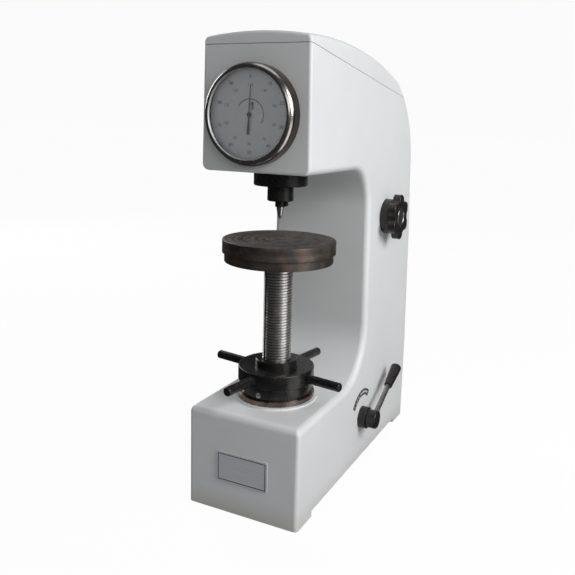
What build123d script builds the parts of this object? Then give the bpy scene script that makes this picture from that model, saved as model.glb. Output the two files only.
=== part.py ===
from build123d import *
from math import asin, atan, cos, degrees, hypot, radians, sin
import os

# Bench hardness tester with a weighted lever. X is the operator's right, Y runs from
# the operator to the back, Z is up. The origin lies on the bench, at the centre of the
# four foot holes. Sizes are in millimetres.

# ---------------------------------------------------------------- driving sizes
# casting
base_width = 167.0
base_front = 213.0            # ahead of the origin
base_back = 222.0             # behind the origin
base_height = 140.0
crest_height = 633.0          # highest line of the crown, over the screw
crest_width = 149.5           # overall width at the crest
casting_wall = 9.0
screw_from_origin = 121.0     # the screw and spindle axis lies this far ahead of the origin
throat_depth = 135.0          # from the screw axis to the throat wall
head_reach = 74.0             # from the screw axis to the head's front face
head_depth = 175.0            # from the crest down to the head's underside
throat_foot_radius = 82.0
throat_crown_radius = 55.0
crown_front_radius = 909.0
crown_rear_radius = 150.0
crown_drop = 6.0              # the crown falls this much from its middle to its sides
crown_fade_angle = 11.0       # the crown fades out over this arc, down the back
seam_below_crest = 18.0       # the cover's seam at the head's front face
seam_fall = 0.134             # the seam falls this much per millimetre towards the back
cover_seam = 0.8
shoulder_radius = 7.0
base_edge_radius = 9.0
base_corner_radius = 6.0
head_edge_radius = 4.0
foot_relief = 8.0             # the side walls stand this high above the bench between the feet
front_foot_length = 45.0
rear_foot_length = 50.0
foot_pad_width = 40.0
foot_pad_height = 16.0
foot_hole_radius = 5.5
foot_hole_x = 60.0            # half the spacing of the foot holes
foot_hole_y = 182.0
pad_radius = 58.0             # machined pad under the seat ring
pad_height = 2.5
screw_boss_radius = 46.0
screw_boss_depth = 44.0       # below the top of the base
window_width = 92.0           # service window in the column's back
window_height = 220.0
window_bottom = 116.0
cover_lap = 11.0              # the rear cover laps the window by this much
rear_cover_thickness = 3.0
screw_head_radius = 4.5
screw_head_height = 2.6
screw_shank_radius = 2.5
pin_radius = 3.0              # locating pins of the top cover
pin_length = 22.0

# fits
running = 0.05                # radial clearance of a shaft in its bush
easy = 0.3                    # clearance of pieces that pass or rest near each other
seat = 0.02                   # clearance of pieces that are pressed or screwed home

# elevating screw, handwheel and table
screw_radius = 20.0
screw_end = 94.0              # the screw's lower end above the bench, as shown
keyway_width = 6.0
keyway_depth = 3.0
test_gap = 27.9               # between the table and the indenter's tip, as shown
table_radius = 78.0
table_lip = 18.0              # height of the wider upper part
table_thickness = 30.5
table_lower_radius = 75.0
table_edge = 1.2              # chamfer of its rims
table_stem_radius = 12.5
table_stem_length = 24.0
seat_ring_radius = 54.5
seat_ring_height = 8.0
sleeve_flange_radius = 51.0
sleeve_flange_height = 14.5
sleeve_barrel_radius = 33.0
sleeve_barrel_length = 44.0   # below the seat ring's underside
key_screw_radius = 4.0
key_screw_angle = 236.0
hub_radius = 53.5
hub_height = 20.0
hub_boss_radius = 29.5
hub_boss_height = 10.0
hub_gap = 0.5                 # running gap between the hub and the sleeve's flange
hub_edge = 1.2                # rounding of the hub's and the flange's rims
bearing_outer_radius = 38.0
bearing_inner_radius = 26.0
bearing_height = 8.0
rod_radius = 6.2
rod_tip_radius = 107.0        # from the screw axis to a rod's end
rod_root_radius = 36.0
rod_height = 11.0             # the rods' axis above the hub's underside
rod_count = 4
rod_start_angle = -9.0

# spindle and indenter
bush_flange_radius = 36.5
bush_flange_height = 20.0
bush_barrel_radius = 19.0
bush_barrel_length = 42.0     # above the head's underside
head_boss_radius = 40.0
head_boss_height = 25.0
spindle_radius = 12.0
spindle_reach = 40.0          # above the bush
neck_radius = 17.8
neck_height = 19.9
neck_clear = 0.5              # between the neck and the bush's flange, once the spindle has risen
nose_radius = 7.0
nose_length = 8.0
indenter_radius = 5.2
indenter_foot_radius = 3.5
indenter_cone_height = 3.4    # from the tip up to the foot
indenter_reach = 16.6         # below the spindle's nose
indenter_shank_length = 24.0
spindle_travel = 0.6
clamp_screw_radius = 2.0
clamp_screw_reach = 11.0
nut_radius = 19.0
nut_height = 8.0
spring_wire = 3.0
spring_radius = 15.2
spring_turns = 4
spring_height = 20.0

# dial
dial_rise = 71.5              # the dial's centre above the head's underside
dial_case_radius = 49.0
dial_case_depth = 33.0
dial_case_wall = 2.5
dial_flange_radius = 60.5
dial_flange = 3.5
bezel_radius = 62.5
bezel_lip_radius = 57.5
bezel_reach = 21.0            # from the head's face to the bezel's lip
bezel_straight = 12.0
bezel_opening = 54.0
glass_thickness = 2.0
lip_thickness = 2.6
face_radius = 56.0
face_thickness = 1.5
face_setback = 10.0           # from the lip to the dial's face
pointer_tip = 35.0
pointer_tail = 24.0
pointer_thickness = 0.6
pointer_width = 1.3
tail_width = 3.6
pointer_lean = 2.5            # clockwise from upright, degrees
counter_offset = 13.5         # the small pointer's axis above the dial's centre
counter_side = 4.0            # and to the right of it
counter_length = 7.5
arbor_radius = 1.5
plunger_radius = 3.0
plate_setback = 8.0           # from the case's back to the movement's plate
plunger_setback = 33.0        # from the screw axis forwards to the plunger
arm_thickness = 7.0
guide_height = 18.0           # of the plunger's guide
counter_face_radius = 20.2
counter_gap = 0.12            # round the fixed middle of the dial

# lever and weights
fulcrum_offset = 12.5         # from the spindle axis forwards to the fulcrum
lever_ratio = 20              # the weight's arm over the spindle's arm
lever_width = 24.0
lever_front_depth = 26.0
lever_rear_depth = 18.0
knife_height = 7.0
knife_clear = 1.2             # between the lever's load edge and the risen spindle
lever_front_overhang = 12.0
lever_rear_overhang = 16.0
yoke_post_width = 10.0
yoke_post_depth = 16.0
yoke_bar_height = 14.0
hanger_drop = 10.0            # the weights' fall over the handle's stroke
stirrup_width = 6.0
stirrup_depth = 16.0
stirrup_bar = 8.0
stirrup_drop = 46.0
hanger_rod_radius = 6.0
pan_radius = 56.0
pan_height = 8.0
pan_bottom = 118.0
weight_radius = 44.0
weight_hole_radius = 8.0
base_weight_height = 42.0
middle_weight_height = 42.0
top_weight_height = 52.0
weight_gap = 7.0
trunnion_radius = 4.0
trunnion_reach = 51.0         # from the weights' axis to a trunnion's end
strap_thickness = 6.0
strap_width = 16.0
lug_height = 7.0

# load selector
selector_back = 86.0          # behind the origin
selector_height = 381.0
selector_turn = 240.0         # degrees over its three loads
carrier_drop = 12.0
selector_shaft_radius = 8.0
cam_peak_radius = 22.0
cam_gap = 0.7                 # kept between a cam and its follower
cam_offset = 55.0             # from the middle of the stand to a selector cam
cam_width = 8.0
cam_dwell = 30.0              # degrees over which a cam keeps its radius
cam_rise = 90.0               # degrees before the start in which the lifting cam rises
boss_disc_radius = 27.0
boss_disc_height = 14.0
knob_core_radius = 27.5
knob_lobe_radius = 10.5
knob_lobe_count = 6
knob_radius = 35.0
knob_height = 12.0
knob_recess_radius = 17.0
knob_recess_depth = 3.0
bearing_barrel_radius = 13.0

# loading handle
handle_back = 8.0             # behind the origin
handle_height = 75.0
handle_stroke = 110.0         # degrees
handle_lean = 26.0            # the lever's angle above level, leaning back
handle_shaft_radius = 9.0
handle_bush_radius = 16.5
handle_bush_height = 12.0
handle_hub_radius = 14.0
handle_hub_height = 14.7
handle_rod_radius = 4.0
handle_length = 118.0
grip_length = 46.0
grip_root_radius = 6.5
grip_end_radius = 9.0
shaft_boss_radius = 18.0
shaft_boss_length = 10.0
lifting_cam_radius = 25.5
lifting_cam_width = 14.0
fork_pivot_back = 50.0
fork_pivot_height = 52.0
fork_bar_radius = 5.0
fork_arm_thickness = 8.0
fork_arm_depth = 11.0
fork_arm_inside = 42.0
fork_pin_radius = 5.0
fork_pad_back = 116.0

# dashpot
dashpot_radius = 36.0
dashpot_wall = 4.0
dashpot_height = 66.0         # without its lid
dashpot_lid_height = 6.0
dashpot_rod_radius = 5.0
piston_height = 12.0
piston_gap = 0.5
bracket_bottom = 22.0
bracket_thickness = 8.0
bracket_depth = 84.0
ledge_width = 14.0
ledge_height = 12.0

# name plate
plate_width = 78.0
plate_height = 43.0
plate_thickness = 1.4
plate_centre_height = 64.7
plate_rim = 2.5
plate_recess = 0.5

# ---------------------------------------------------------------- worked-out places
half_base = base_width / 2
half_crest = crest_width / 2
screw_y = -screw_from_origin
throat_y = screw_y + throat_depth
head_underside = crest_height - head_depth
seam_front_height = crest_height - seam_below_crest
head_y = screw_y - head_reach
rear_centre_y = base_back - crown_rear_radius
crown_angle = degrees(asin((rear_centre_y - screw_y) / (crown_front_radius - crown_rear_radius)))
front_centre_z = crest_height - crown_front_radius
screw_axis = (0, screw_y)
ring_bottom = base_height + pad_height
flange_bottom = ring_bottom + seat_ring_height
flange_top = flange_bottom + sleeve_flange_height
hub_bottom = flange_top + hub_gap
hub_top = hub_bottom + hub_height
rod_z = hub_bottom + rod_height
bush_top = head_underside + bush_barrel_length
spindle_top = bush_top + spindle_reach
neck_top = head_underside - bush_flange_height - spindle_travel - neck_clear
neck_bottom = neck_top - neck_height
nose_bottom = neck_bottom - nose_length
indenter_tip = nose_bottom - indenter_reach
table_top = indenter_tip - test_gap
table_bottom = table_top - table_thickness
dial_height = head_underside + dial_rise
dial_centre = (0, dial_height)
fulcrum_y = screw_y - fulcrum_offset
hanger_y = fulcrum_y + fulcrum_offset * lever_ratio
load_edge_z = spindle_top + spindle_travel + knife_clear
lever_floor = load_edge_z + knife_height
lever_top = lever_floor + lever_front_depth
fulcrum_z = lever_top + knife_height
hanger_edge_z = lever_floor + lever_rear_depth + knife_height
pan_top = pan_bottom + pan_height
base_weight_bottom = pan_top + easy
base_weight_top = base_weight_bottom + base_weight_height
middle_weight_bottom = base_weight_top + carrier_drop + easy
middle_weight_top = middle_weight_bottom + middle_weight_height
top_weight_bottom = middle_weight_top + weight_gap
fork_stroke = degrees(asin(hanger_drop / (fork_pad_back - fork_pivot_back)))


def half_width(z):
    # half the casting's width at a height, on its tapered sides
    if z <= base_height:
        return half_base
    return half_base - (half_base - half_crest) * (z - base_height) / (crest_height - base_height)


def seam_z(y):
    return seam_front_height - seam_fall * (y - head_y)


def seam_plane(rise):
    return Plane(origin=(0, head_y, seam_front_height + rise), x_dir=(1, 0, 0), z_dir=(0, seam_fall, 1))


def front_plane(y):
    # sketches face the operator: local x is X and local y is Z
    return Plane(origin=(0, y, 0), x_dir=(1, 0, 0), z_dir=(0, -1, 0))


def side_plane(x):
    # sketches face the operator's right: local x is Y and local y is Z
    return Plane(origin=(x, 0, 0), x_dir=(0, 1, 0), z_dir=(1, 0, 0))


def stand_form(inset, floor):
    # the C-shaped stand, or its hollow when inset by the wall
    with BuildPart() as form:
        with BuildSketch(side_plane(0)):
            with BuildLine():
                sill = Polyline(
                    (-base_front + inset, floor),
                    (-base_front + inset, base_height - inset),
                    (throat_y - throat_foot_radius, base_height - inset),
                )
                foot = JernArc(sill @ 1, (1, 0), throat_foot_radius + inset, 90)
                wall = Line(foot @ 1, (throat_y + inset, head_underside - throat_crown_radius))
                brow = JernArc(wall @ 1, (0, 1), throat_crown_radius + inset, 90)
                chin = Line(brow @ 1, (head_y + inset, head_underside + inset))
                face = Line(chin @ 1, crown_point(face_angle(inset), inset))
                crown = ThreePointArc(
                    face @ 1,
                    (screw_y, crest_height - inset),
                    crown_point(crown_angle, inset),
                )
                rear = JernArc(crown @ 1, crown % 1, crown_rear_radius - inset, crown_angle - 90)
                Polyline(rear @ 1, (base_back - inset, floor), sill @ 0)
            make_face()
        extrude(amount=base_width, both=True)
        with BuildSketch(front_plane(0)):
            Polygon(
                (-half_base + inset, floor),
                (half_base - inset, floor),
                (half_base - inset, base_height),
                (half_crest - inset, crest_height),
                (-half_crest + inset, crest_height),
                (-half_base + inset, base_height),
                align=None,
            )
        extrude(amount=base_front + base_back, both=True, mode=Mode.INTERSECT)
    return form.part


def crown_point(angle, inset):
    radius = crown_front_radius - inset
    return (screw_y + radius * sin(radians(angle)), front_centre_z + radius * cos(radians(angle)))


def face_angle(inset):
    return -degrees(asin((head_reach - inset) / (crown_front_radius - inset)))


def crown_cutter():
    # removes what lies above the crown's arch, along the side outline, and fades out down the back
    lead = 30.0
    with BuildPart() as cutter:
        with BuildLine(side_plane(0)) as path:
            start_angle = -degrees(asin((head_reach + lead) / crown_front_radius))
            front = ThreePointArc(
                crown_point(start_angle, 0),
                crown_point(0, 0),
                crown_point(crown_angle, 0),
            )
            rear = JernArc(front @ 1, front % 1, crown_rear_radius, crown_angle - 90)
            JernArc(rear @ 1, rear % 1, crown_front_radius, crown_fade_angle)
        start = path.wire() @ 0
        with BuildSketch(Plane(origin=start, x_dir=(-1, 0, 0), z_dir=path.wire() % 0)):
            reach = 1.3 * half_crest
            fall = crown_drop * 1.3**2
            with BuildLine():
                arch = ThreePointArc((-reach, -fall), (0, 0), (reach, -fall))
                Polyline(arch @ 1, (reach, lead), (-reach, lead), arch @ 0)
            make_face()
        sweep(path=path.wire())
    return cutter.part


def stand_outside():
    # the whole casting and cover, rounded, before they are parted and hollowed
    with BuildPart() as outside:
        add(stand_form(0, 0))
        add(crown_cutter(), mode=Mode.SUBTRACT)
        sides = outside.edges().filter_by(lambda e: abs(e.center().X) > 0.9 * half_crest)
        long_sides = sides.filter_by(lambda e: e.bounding_box().size.Y > head_reach)
        high_sides = long_sides.filter_by(lambda e: e.center().Z > head_underside + throat_crown_radius)
        shoulders = high_sides.filter_by(lambda e: e.center().Y > screw_y)
        rear = sides.filter_by(GeomType.LINE).filter_by(lambda e: abs(e.center().Y - base_back) < 1)
        fillet(shoulders + rear.filter_by(lambda e: e.bounding_box().size.Z > 1), radius=shoulder_radius)
        corners = outside.edges().filter_by(lambda e: abs(e.center().Y + base_front) < 1)
        fillet(corners.filter_by(Axis.Z), radius=base_corner_radius)
        rims = outside.edges().filter_by(lambda e: abs(e.center().Z - base_height) < 1)
        foot_start = throat_y - throat_foot_radius
        fillet(rims.filter_by(lambda e: e.center().Y < foot_start - 1), radius=base_edge_radius)
        front = outside.edges().filter_by(lambda e: abs(e.center().Y - head_y) < 1)
        fillet(front, radius=head_edge_radius)
    return outside.part


def cam_outline(radius_at, centre):
    # points of a closed smooth outline, whose radius depends on the angle in degrees
    spots = []
    for angle in range(0, 360, 15):
        outward = Vector(cos(radians(angle)), sin(radians(angle)))
        spots.append(Vector(*centre) + outward * radius_at(angle))
    return spots


def selector_cam_radius(angle):
    # highest at the top, falls by the carrier's drop over the selector's turn, dwells and rises
    turned = (90 - angle) % 360
    if turned <= selector_turn:
        return cam_peak_radius - carrier_drop * turned / selector_turn
    dwell_end = selector_turn + cam_dwell
    if turned <= dwell_end:
        return cam_peak_radius - carrier_drop
    rise = (turned - dwell_end) / (360 - dwell_end - cam_dwell / 2)
    return cam_peak_radius - carrier_drop * (1 - min(rise, 1))


def lifting_cam_radius_at(angle):
    # widest underneath, falls by the fork's travel over the handle's stroke and rises again
    turned = (270 - angle) % 360
    if turned <= handle_stroke:
        return lifting_cam_radius - fork_bar_rise * turned / handle_stroke
    rise = (turned - 360 + cam_rise) / (cam_rise - cam_dwell / 2)
    return lifting_cam_radius - fork_bar_rise * (1 - min(max(rise, 0), 1))


fork_bar_rise = (fork_pivot_back - handle_back) * sin(radians(fork_stroke))
fork_bar_z = handle_height - lifting_cam_radius - cam_gap - fork_bar_radius
pad_face_x = half_width(selector_height - boss_disc_radius - easy)
selector_spot = (selector_back, selector_height)
handle_spot = (handle_back, handle_height)
pivot_spot = (fork_pivot_back, fork_pivot_height)
hollow_x = half_base - casting_wall
boss_inner_x = hollow_x - shaft_boss_length
inner_stop_x = hollow_x - 4
rear_hole_x = window_width / 2 + cover_lap / 2
rear_hole_z = [
    window_bottom - cover_lap / 2,
    window_bottom + window_height / 2,
    window_bottom + window_height + cover_lap / 2,
]
rear_holes = [(side * rear_hole_x, z) for side in (-1, 1) for z in rear_hole_z]
pin_x = half_crest - casting_wall / 2
pin_rows = (head_y + 45, throat_y + 50)
pin_spots = [(side * pin_x, y) for side in (-1, 1) for y in pin_rows]

outside = stand_outside()
hollow = stand_form(casting_wall, -1)

# ---------------------------------------------------------------- casting and covers
with BuildPart() as body_casting:
    add(outside)
    add(hollow, mode=Mode.SUBTRACT)
    split(bisect_by=seam_plane(-cover_seam / 2), keep=Keep.BOTTOM)
    # cast feet, with the side walls relieved between them
    with BuildSketch(side_plane(0)):
        with Locations(((base_back - rear_foot_length + front_foot_length - base_front) / 2, 0)):
            Rectangle(base_front + base_back - front_foot_length - rear_foot_length, 2 * foot_relief)
    extrude(amount=base_width, both=True, mode=Mode.SUBTRACT)
    foot_x = half_base - casting_wall / 2 - foot_pad_width / 2
    with BuildSketch(Plane.XY):
        with Locations((0, (casting_wall + front_foot_length) / 2 - base_front)):
            with GridLocations(2 * foot_x, 0, 2, 1):
                Rectangle(foot_pad_width, front_foot_length)
        with Locations((0, base_back - (casting_wall + rear_foot_length) / 2)):
            with GridLocations(2 * foot_x, 0, 2, 1):
                Rectangle(foot_pad_width, rear_foot_length)
    extrude(amount=foot_pad_height)
    with BuildSketch(Plane.XY):
        with GridLocations(2 * foot_hole_x, 2 * foot_hole_y, 2, 2):
            Circle(foot_hole_radius)
    extrude(amount=foot_pad_height, mode=Mode.SUBTRACT)
    # boss for the screw's guide, with a machined pad on top
    with BuildSketch(Plane.XY.offset(base_height - screw_boss_depth)):
        with Locations(screw_axis):
            Circle(screw_boss_radius)
    extrude(amount=screw_boss_depth)
    with BuildSketch(Plane.XY.offset(base_height - casting_wall / 2)):
        with Locations(screw_axis):
            Circle(pad_radius)
    extrude(amount=casting_wall / 2 + pad_height)
    with BuildSketch(Plane.XY.offset(base_height - screw_boss_depth)):
        with Locations(screw_axis):
            Circle(sleeve_barrel_radius + seat)
    extrude(amount=screw_boss_depth + pad_height, mode=Mode.SUBTRACT)
    # boss for the spindle's bush
    with BuildSketch(Plane.XY.offset(head_underside + casting_wall / 2)):
        with Locations(screw_axis):
            Circle(head_boss_radius)
    extrude(amount=casting_wall / 2 + head_boss_height)
    with BuildSketch(Plane.XY.offset(head_underside)):
        with Locations(screw_axis):
            Circle(bush_barrel_radius + seat)
    extrude(amount=casting_wall + head_boss_height, mode=Mode.SUBTRACT)
    # opening for the dial's case
    with BuildSketch(front_plane(head_y + casting_wall)):
        with Locations(dial_centre):
            Circle(dial_case_radius + easy)
    extrude(amount=casting_wall, mode=Mode.SUBTRACT)
    # bosses inside the side walls for the shafts, and a machined pad for the selector
    with BuildSketch(side_plane(boss_inner_x)):
        with Locations(handle_spot, selector_spot):
            Circle(shaft_boss_radius)
        with Locations(pivot_spot):
            Circle(fork_pin_radius + casting_wall / 2)
    extrude(amount=half_width(selector_height) - boss_inner_x - 1)
    with BuildSketch(side_plane(-boss_inner_x)):
        with Locations(handle_spot, selector_spot):
            Circle(shaft_boss_radius)
        with Locations(pivot_spot):
            Circle(fork_pin_radius + casting_wall / 2)
    extrude(amount=boss_inner_x + 1 - half_width(selector_height))
    with BuildSketch(side_plane(pad_face_x)):
        with Locations(selector_spot):
            Circle(boss_disc_radius + easy)
    extrude(amount=-casting_wall / 2)
    with BuildSketch(side_plane(boss_inner_x)):
        with Locations(handle_spot, selector_spot):
            Circle(bearing_barrel_radius + seat)
    extrude(amount=half_base - boss_inner_x, mode=Mode.SUBTRACT)
    with BuildSketch(side_plane(-inner_stop_x)):
        with Locations(handle_spot):
            Circle(handle_shaft_radius + running)
        with Locations(selector_spot):
            Circle(selector_shaft_radius + running)
    extrude(amount=inner_stop_x - boss_inner_x, mode=Mode.SUBTRACT)
    with BuildSketch(side_plane(-inner_stop_x)):
        with Locations(pivot_spot):
            Circle(fork_pin_radius + seat)
    extrude(amount=2 * inner_stop_x, mode=Mode.SUBTRACT)
    # ledges for the dashpot's bracket
    with BuildSketch(front_plane(hanger_y + bracket_depth / 2)):
        with Locations((0, bracket_bottom - ledge_height / 2)):
            with GridLocations(2 * hollow_x - ledge_width, 0, 2, 1):
                Rectangle(ledge_width + 2, ledge_height)
    extrude(amount=bracket_depth)
    # service window, and the recess for its cover
    with BuildSketch(front_plane(base_back)):
        with Locations((0, window_bottom + window_height / 2)):
            RectangleRounded(window_width, window_height, cover_lap)
    extrude(amount=casting_wall, mode=Mode.SUBTRACT)
    with BuildSketch(front_plane(base_back)):
        with Locations((0, window_bottom + window_height / 2)):
            RectangleRounded(
                window_width + 2 * (cover_lap + easy),
                window_height + 2 * (cover_lap + easy),
                cover_lap + easy,
            )
    extrude(amount=rear_cover_thickness, mode=Mode.SUBTRACT)
    with BuildSketch(front_plane(base_back)):
        with Locations(*rear_holes):
            Circle(screw_shank_radius + seat)
    extrude(amount=casting_wall, mode=Mode.SUBTRACT)
    # holes for the cover's locating pins
    for x, y in pin_spots:
        with Locations((x, y, seam_z(y) - pin_length / 2)):
            Cylinder(pin_radius + seat, pin_length, mode=Mode.SUBTRACT)
body_casting.part.label = "body_casting"

with BuildPart() as top_cover:
    add(outside)
    add(hollow, mode=Mode.SUBTRACT)
    split(bisect_by=seam_plane(cover_seam / 2), keep=Keep.TOP)
    for x, y in pin_spots:
        with Locations((x, y, seam_z(y))):
            Cylinder(pin_radius + easy, pin_length + easy, mode=Mode.SUBTRACT)
top_cover.part.label = "top_cover"

with BuildPart() as locating_pins:
    for x, y in pin_spots:
        with Locations((x, y, seam_z(y) - pin_length / 4)):
            Cylinder(pin_radius, pin_length)
    chamfer(locating_pins.faces().filter_by(Axis.Z).edges(), length=pin_radius / 4)
locating_pins.part.label = "locating_pins"

with BuildPart() as rear_cover:
    with BuildSketch(front_plane(base_back)):
        with Locations((0, window_bottom + window_height / 2)):
            RectangleRounded(window_width + 2 * cover_lap, window_height + 2 * cover_lap, cover_lap)
        with Locations(*rear_holes):
            Circle(screw_shank_radius + easy, mode=Mode.SUBTRACT)
    extrude(amount=rear_cover_thickness)
rear_cover.part.label = "rear_cover"

with BuildPart() as rear_cover_screws:
    with BuildSketch(front_plane(base_back)):
        with Locations(*rear_holes):
            Circle(screw_head_radius)
    extrude(amount=-screw_head_height, taper=12)
    with BuildSketch(front_plane(base_back)):
        with Locations(*rear_holes):
            Circle(screw_shank_radius)
    extrude(amount=casting_wall)
rear_cover_screws.part.label = "rear_cover_screws"

with BuildPart() as name_plate:
    with BuildSketch(front_plane(-base_front)):
        with Locations((0, plate_centre_height)):
            RectangleRounded(plate_width, plate_height, plate_rim)
    extrude(amount=plate_thickness)
    with BuildSketch(front_plane(-base_front - plate_thickness)):
        with Locations((0, plate_centre_height)):
            Rectangle(plate_width - 2 * plate_rim, plate_height - 2 * plate_rim)
    extrude(amount=-plate_recess, mode=Mode.SUBTRACT)
name_plate.part.label = "name_plate"


# ---------------------------------------------------------------- elevating screw and handwheel
with BuildPart() as seat_ring:
    with BuildSketch(Plane.XY.offset(ring_bottom)):
        with Locations(screw_axis):
            Circle(seat_ring_radius)
            Circle(sleeve_barrel_radius + easy, mode=Mode.SUBTRACT)
    extrude(amount=seat_ring_height)
    rim = seat_ring.edges().filter_by(GeomType.CIRCLE).filter_by(lambda e: e.radius > sleeve_flange_radius)
    chamfer(rim, length=seat_ring_height / 6)
seat_ring.part.label = "seat_ring"

key_direction = Vector(cos(radians(key_screw_angle)), sin(radians(key_screw_angle)), 0)
key_z = flange_bottom + sleeve_flange_height * 0.4
bearing_bottom = flange_top - bearing_height / 2


def key_plane(radius):
    # faces outwards along the key screw, at this radius from the screw's axis
    origin = Vector(0, screw_y, key_z) + key_direction * radius
    return Plane(origin=origin, x_dir=(0, 0, 1), z_dir=key_direction)


with BuildPart() as guide_sleeve:
    with BuildSketch(Plane.XY.offset(ring_bottom - sleeve_barrel_length)):
        with Locations(screw_axis):
            Circle(sleeve_barrel_radius)
    extrude(amount=sleeve_barrel_length + seat_ring_height + sleeve_flange_height)
    with BuildSketch(Plane.XY.offset(flange_bottom)):
        with Locations(screw_axis):
            Circle(sleeve_flange_radius)
    extrude(amount=sleeve_flange_height)
    fillet(guide_sleeve.faces().sort_by(Axis.Z)[-1].edges(), radius=hub_edge)
    with BuildSketch(Plane.XY.offset(bearing_bottom)):
        with Locations(screw_axis):
            Circle(bearing_outer_radius + seat)
            Circle(bearing_inner_radius - seat, mode=Mode.SUBTRACT)
    extrude(amount=bearing_height, mode=Mode.SUBTRACT)
    with BuildSketch(Plane.XY.offset(ring_bottom - sleeve_barrel_length)):
        with Locations(screw_axis):
            Circle(screw_radius + running)
    extrude(amount=table_bottom, mode=Mode.SUBTRACT)
    with BuildSketch(key_plane(0)):
        Circle(key_screw_radius + seat)
    extrude(amount=hub_radius, mode=Mode.SUBTRACT)
guide_sleeve.part.label = "guide_sleeve"

with BuildPart() as key_screw:
    with BuildSketch(key_plane(screw_radius + keyway_depth)):
        Circle(key_screw_radius)
    extrude(amount=sleeve_flange_radius - screw_radius - keyway_depth + 1)
    chamfer(key_screw.edges().sort_by_distance(Vector(0, screw_y, key_z))[-1], length=0.6)
    with BuildSketch(key_plane(screw_radius - keyway_depth + easy)):
        Circle(keyway_width / 2 - easy)
    extrude(amount=2 * keyway_depth)
key_screw.part.label = "key_screw"

with BuildPart() as thrust_bearing:
    ball_radius = bearing_height * 0.3
    middle = (bearing_inner_radius + bearing_outer_radius) / 2
    with BuildSketch(Plane.XZ) as race:
        with Locations((middle, bearing_bottom + bearing_height / 2)):
            Rectangle(bearing_outer_radius - bearing_inner_radius, bearing_height - 2 * seat)
        for side in (bearing_inner_radius, bearing_outer_radius):
            with Locations((side, bearing_bottom + bearing_height / 2)):
                Rectangle(ball_radius, ball_radius, mode=Mode.SUBTRACT)
    add(revolve(race.sketch, axis=Axis.Z, mode=Mode.PRIVATE).moved(Pos(0, screw_y, 0)))
thrust_bearing.part.label = "thrust_bearing"

with BuildPart() as handwheel_hub:
    with BuildSketch(Plane.XY.offset(hub_bottom)):
        with Locations(screw_axis):
            Circle(hub_radius)
    extrude(amount=hub_height)
    hub_rims = handwheel_hub.edges().filter_by(GeomType.CIRCLE)
    fillet(hub_rims, radius=hub_edge)
    with BuildSketch(Plane.XY.offset(hub_top)):
        with Locations(screw_axis):
            Circle(hub_boss_radius)
    extrude(amount=hub_boss_height)
    chamfer(handwheel_hub.faces().sort_by(Axis.Z)[-1].edges(), length=hub_edge)
    with BuildSketch(Plane.XY.offset(hub_bottom)):
        with Locations(screw_axis):
            Circle(screw_radius + running)
    extrude(amount=hub_height + hub_boss_height, mode=Mode.SUBTRACT)
    with BuildSketch(Plane.XY.offset(hub_bottom)):
        with Locations(screw_axis):
            Circle(bearing_outer_radius + easy)
            Circle(bearing_inner_radius - easy, mode=Mode.SUBTRACT)
    extrude(amount=bearing_height / 2 - hub_gap + easy, mode=Mode.SUBTRACT)
    for count in range(rod_count):
        angle = rod_start_angle + 360 * count / rod_count
        outward = Vector(cos(radians(angle)), sin(radians(angle)), 0)
        start = Vector(0, screw_y, rod_z) + outward * rod_root_radius
        with BuildSketch(Plane(origin=start, z_dir=outward)):
            Circle(rod_radius + seat)
        extrude(amount=hub_radius, mode=Mode.SUBTRACT)
handwheel_hub.part.label = "handwheel_hub"

with BuildPart() as handwheel_rods:
    for count in range(rod_count):
        angle = rod_start_angle + 360 * count / rod_count
        outward = Vector(cos(radians(angle)), sin(radians(angle)), 0)
        start = Vector(0, screw_y, rod_z) + outward * rod_root_radius
        with BuildSketch(Plane(origin=start, z_dir=outward)):
            Circle(rod_radius)
        extrude(amount=rod_tip_radius - rod_root_radius)
    ends = handwheel_rods.edges().filter_by(GeomType.CIRCLE)
    tips = ends.filter_by(lambda e: hypot(e.center().X, e.center().Y - screw_y) > hub_radius)
    fillet(tips, radius=rod_radius * 0.45)
handwheel_rods.part.label = "handwheel_rods"

with BuildPart() as elevating_screw:
    with BuildSketch(Plane.XY.offset(table_bottom)):
        with Locations(screw_axis):
            Circle(screw_radius)
    extrude(amount=screw_end - table_bottom)
    chamfer(elevating_screw.edges().sort_by(Axis.Z)[0], length=2)
    with BuildSketch(Plane.XY.offset(table_bottom)):
        with Locations(screw_axis):
            Circle(table_stem_radius + seat)
    extrude(amount=-table_stem_length - easy, mode=Mode.SUBTRACT)
    with BuildSketch(Plane.XY.offset(screw_end)):
        with Locations(screw_axis):
            with PolarLocations(screw_radius, 1, start_angle=key_screw_angle):
                Rectangle(2 * keyway_depth, keyway_width)
    extrude(amount=table_bottom - screw_end - table_stem_length, mode=Mode.SUBTRACT)
elevating_screw.part.label = "elevating_screw"

with BuildPart() as anvil:
    with BuildSketch(Plane.XY.offset(table_top - table_lip)):
        with Locations(screw_axis):
            Circle(table_radius)
    extrude(amount=table_lip)
    with BuildSketch(Plane.XY.offset(table_bottom)):
        with Locations(screw_axis):
            Circle(table_lower_radius)
    extrude(amount=table_thickness - table_lip)
    with BuildSketch(Plane.XY.offset(table_bottom - table_stem_length)):
        with Locations(screw_axis):
            Circle(table_stem_radius)
    extrude(amount=table_stem_length)
    table_rims = anvil.edges().filter_by(GeomType.CIRCLE).filter_by(lambda e: e.radius > screw_radius)
    table_rims = table_rims.sort_by(Axis.Z)
    chamfer([table_rims[-1], table_rims[0]], length=table_edge)
anvil.part.label = "anvil"

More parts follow.
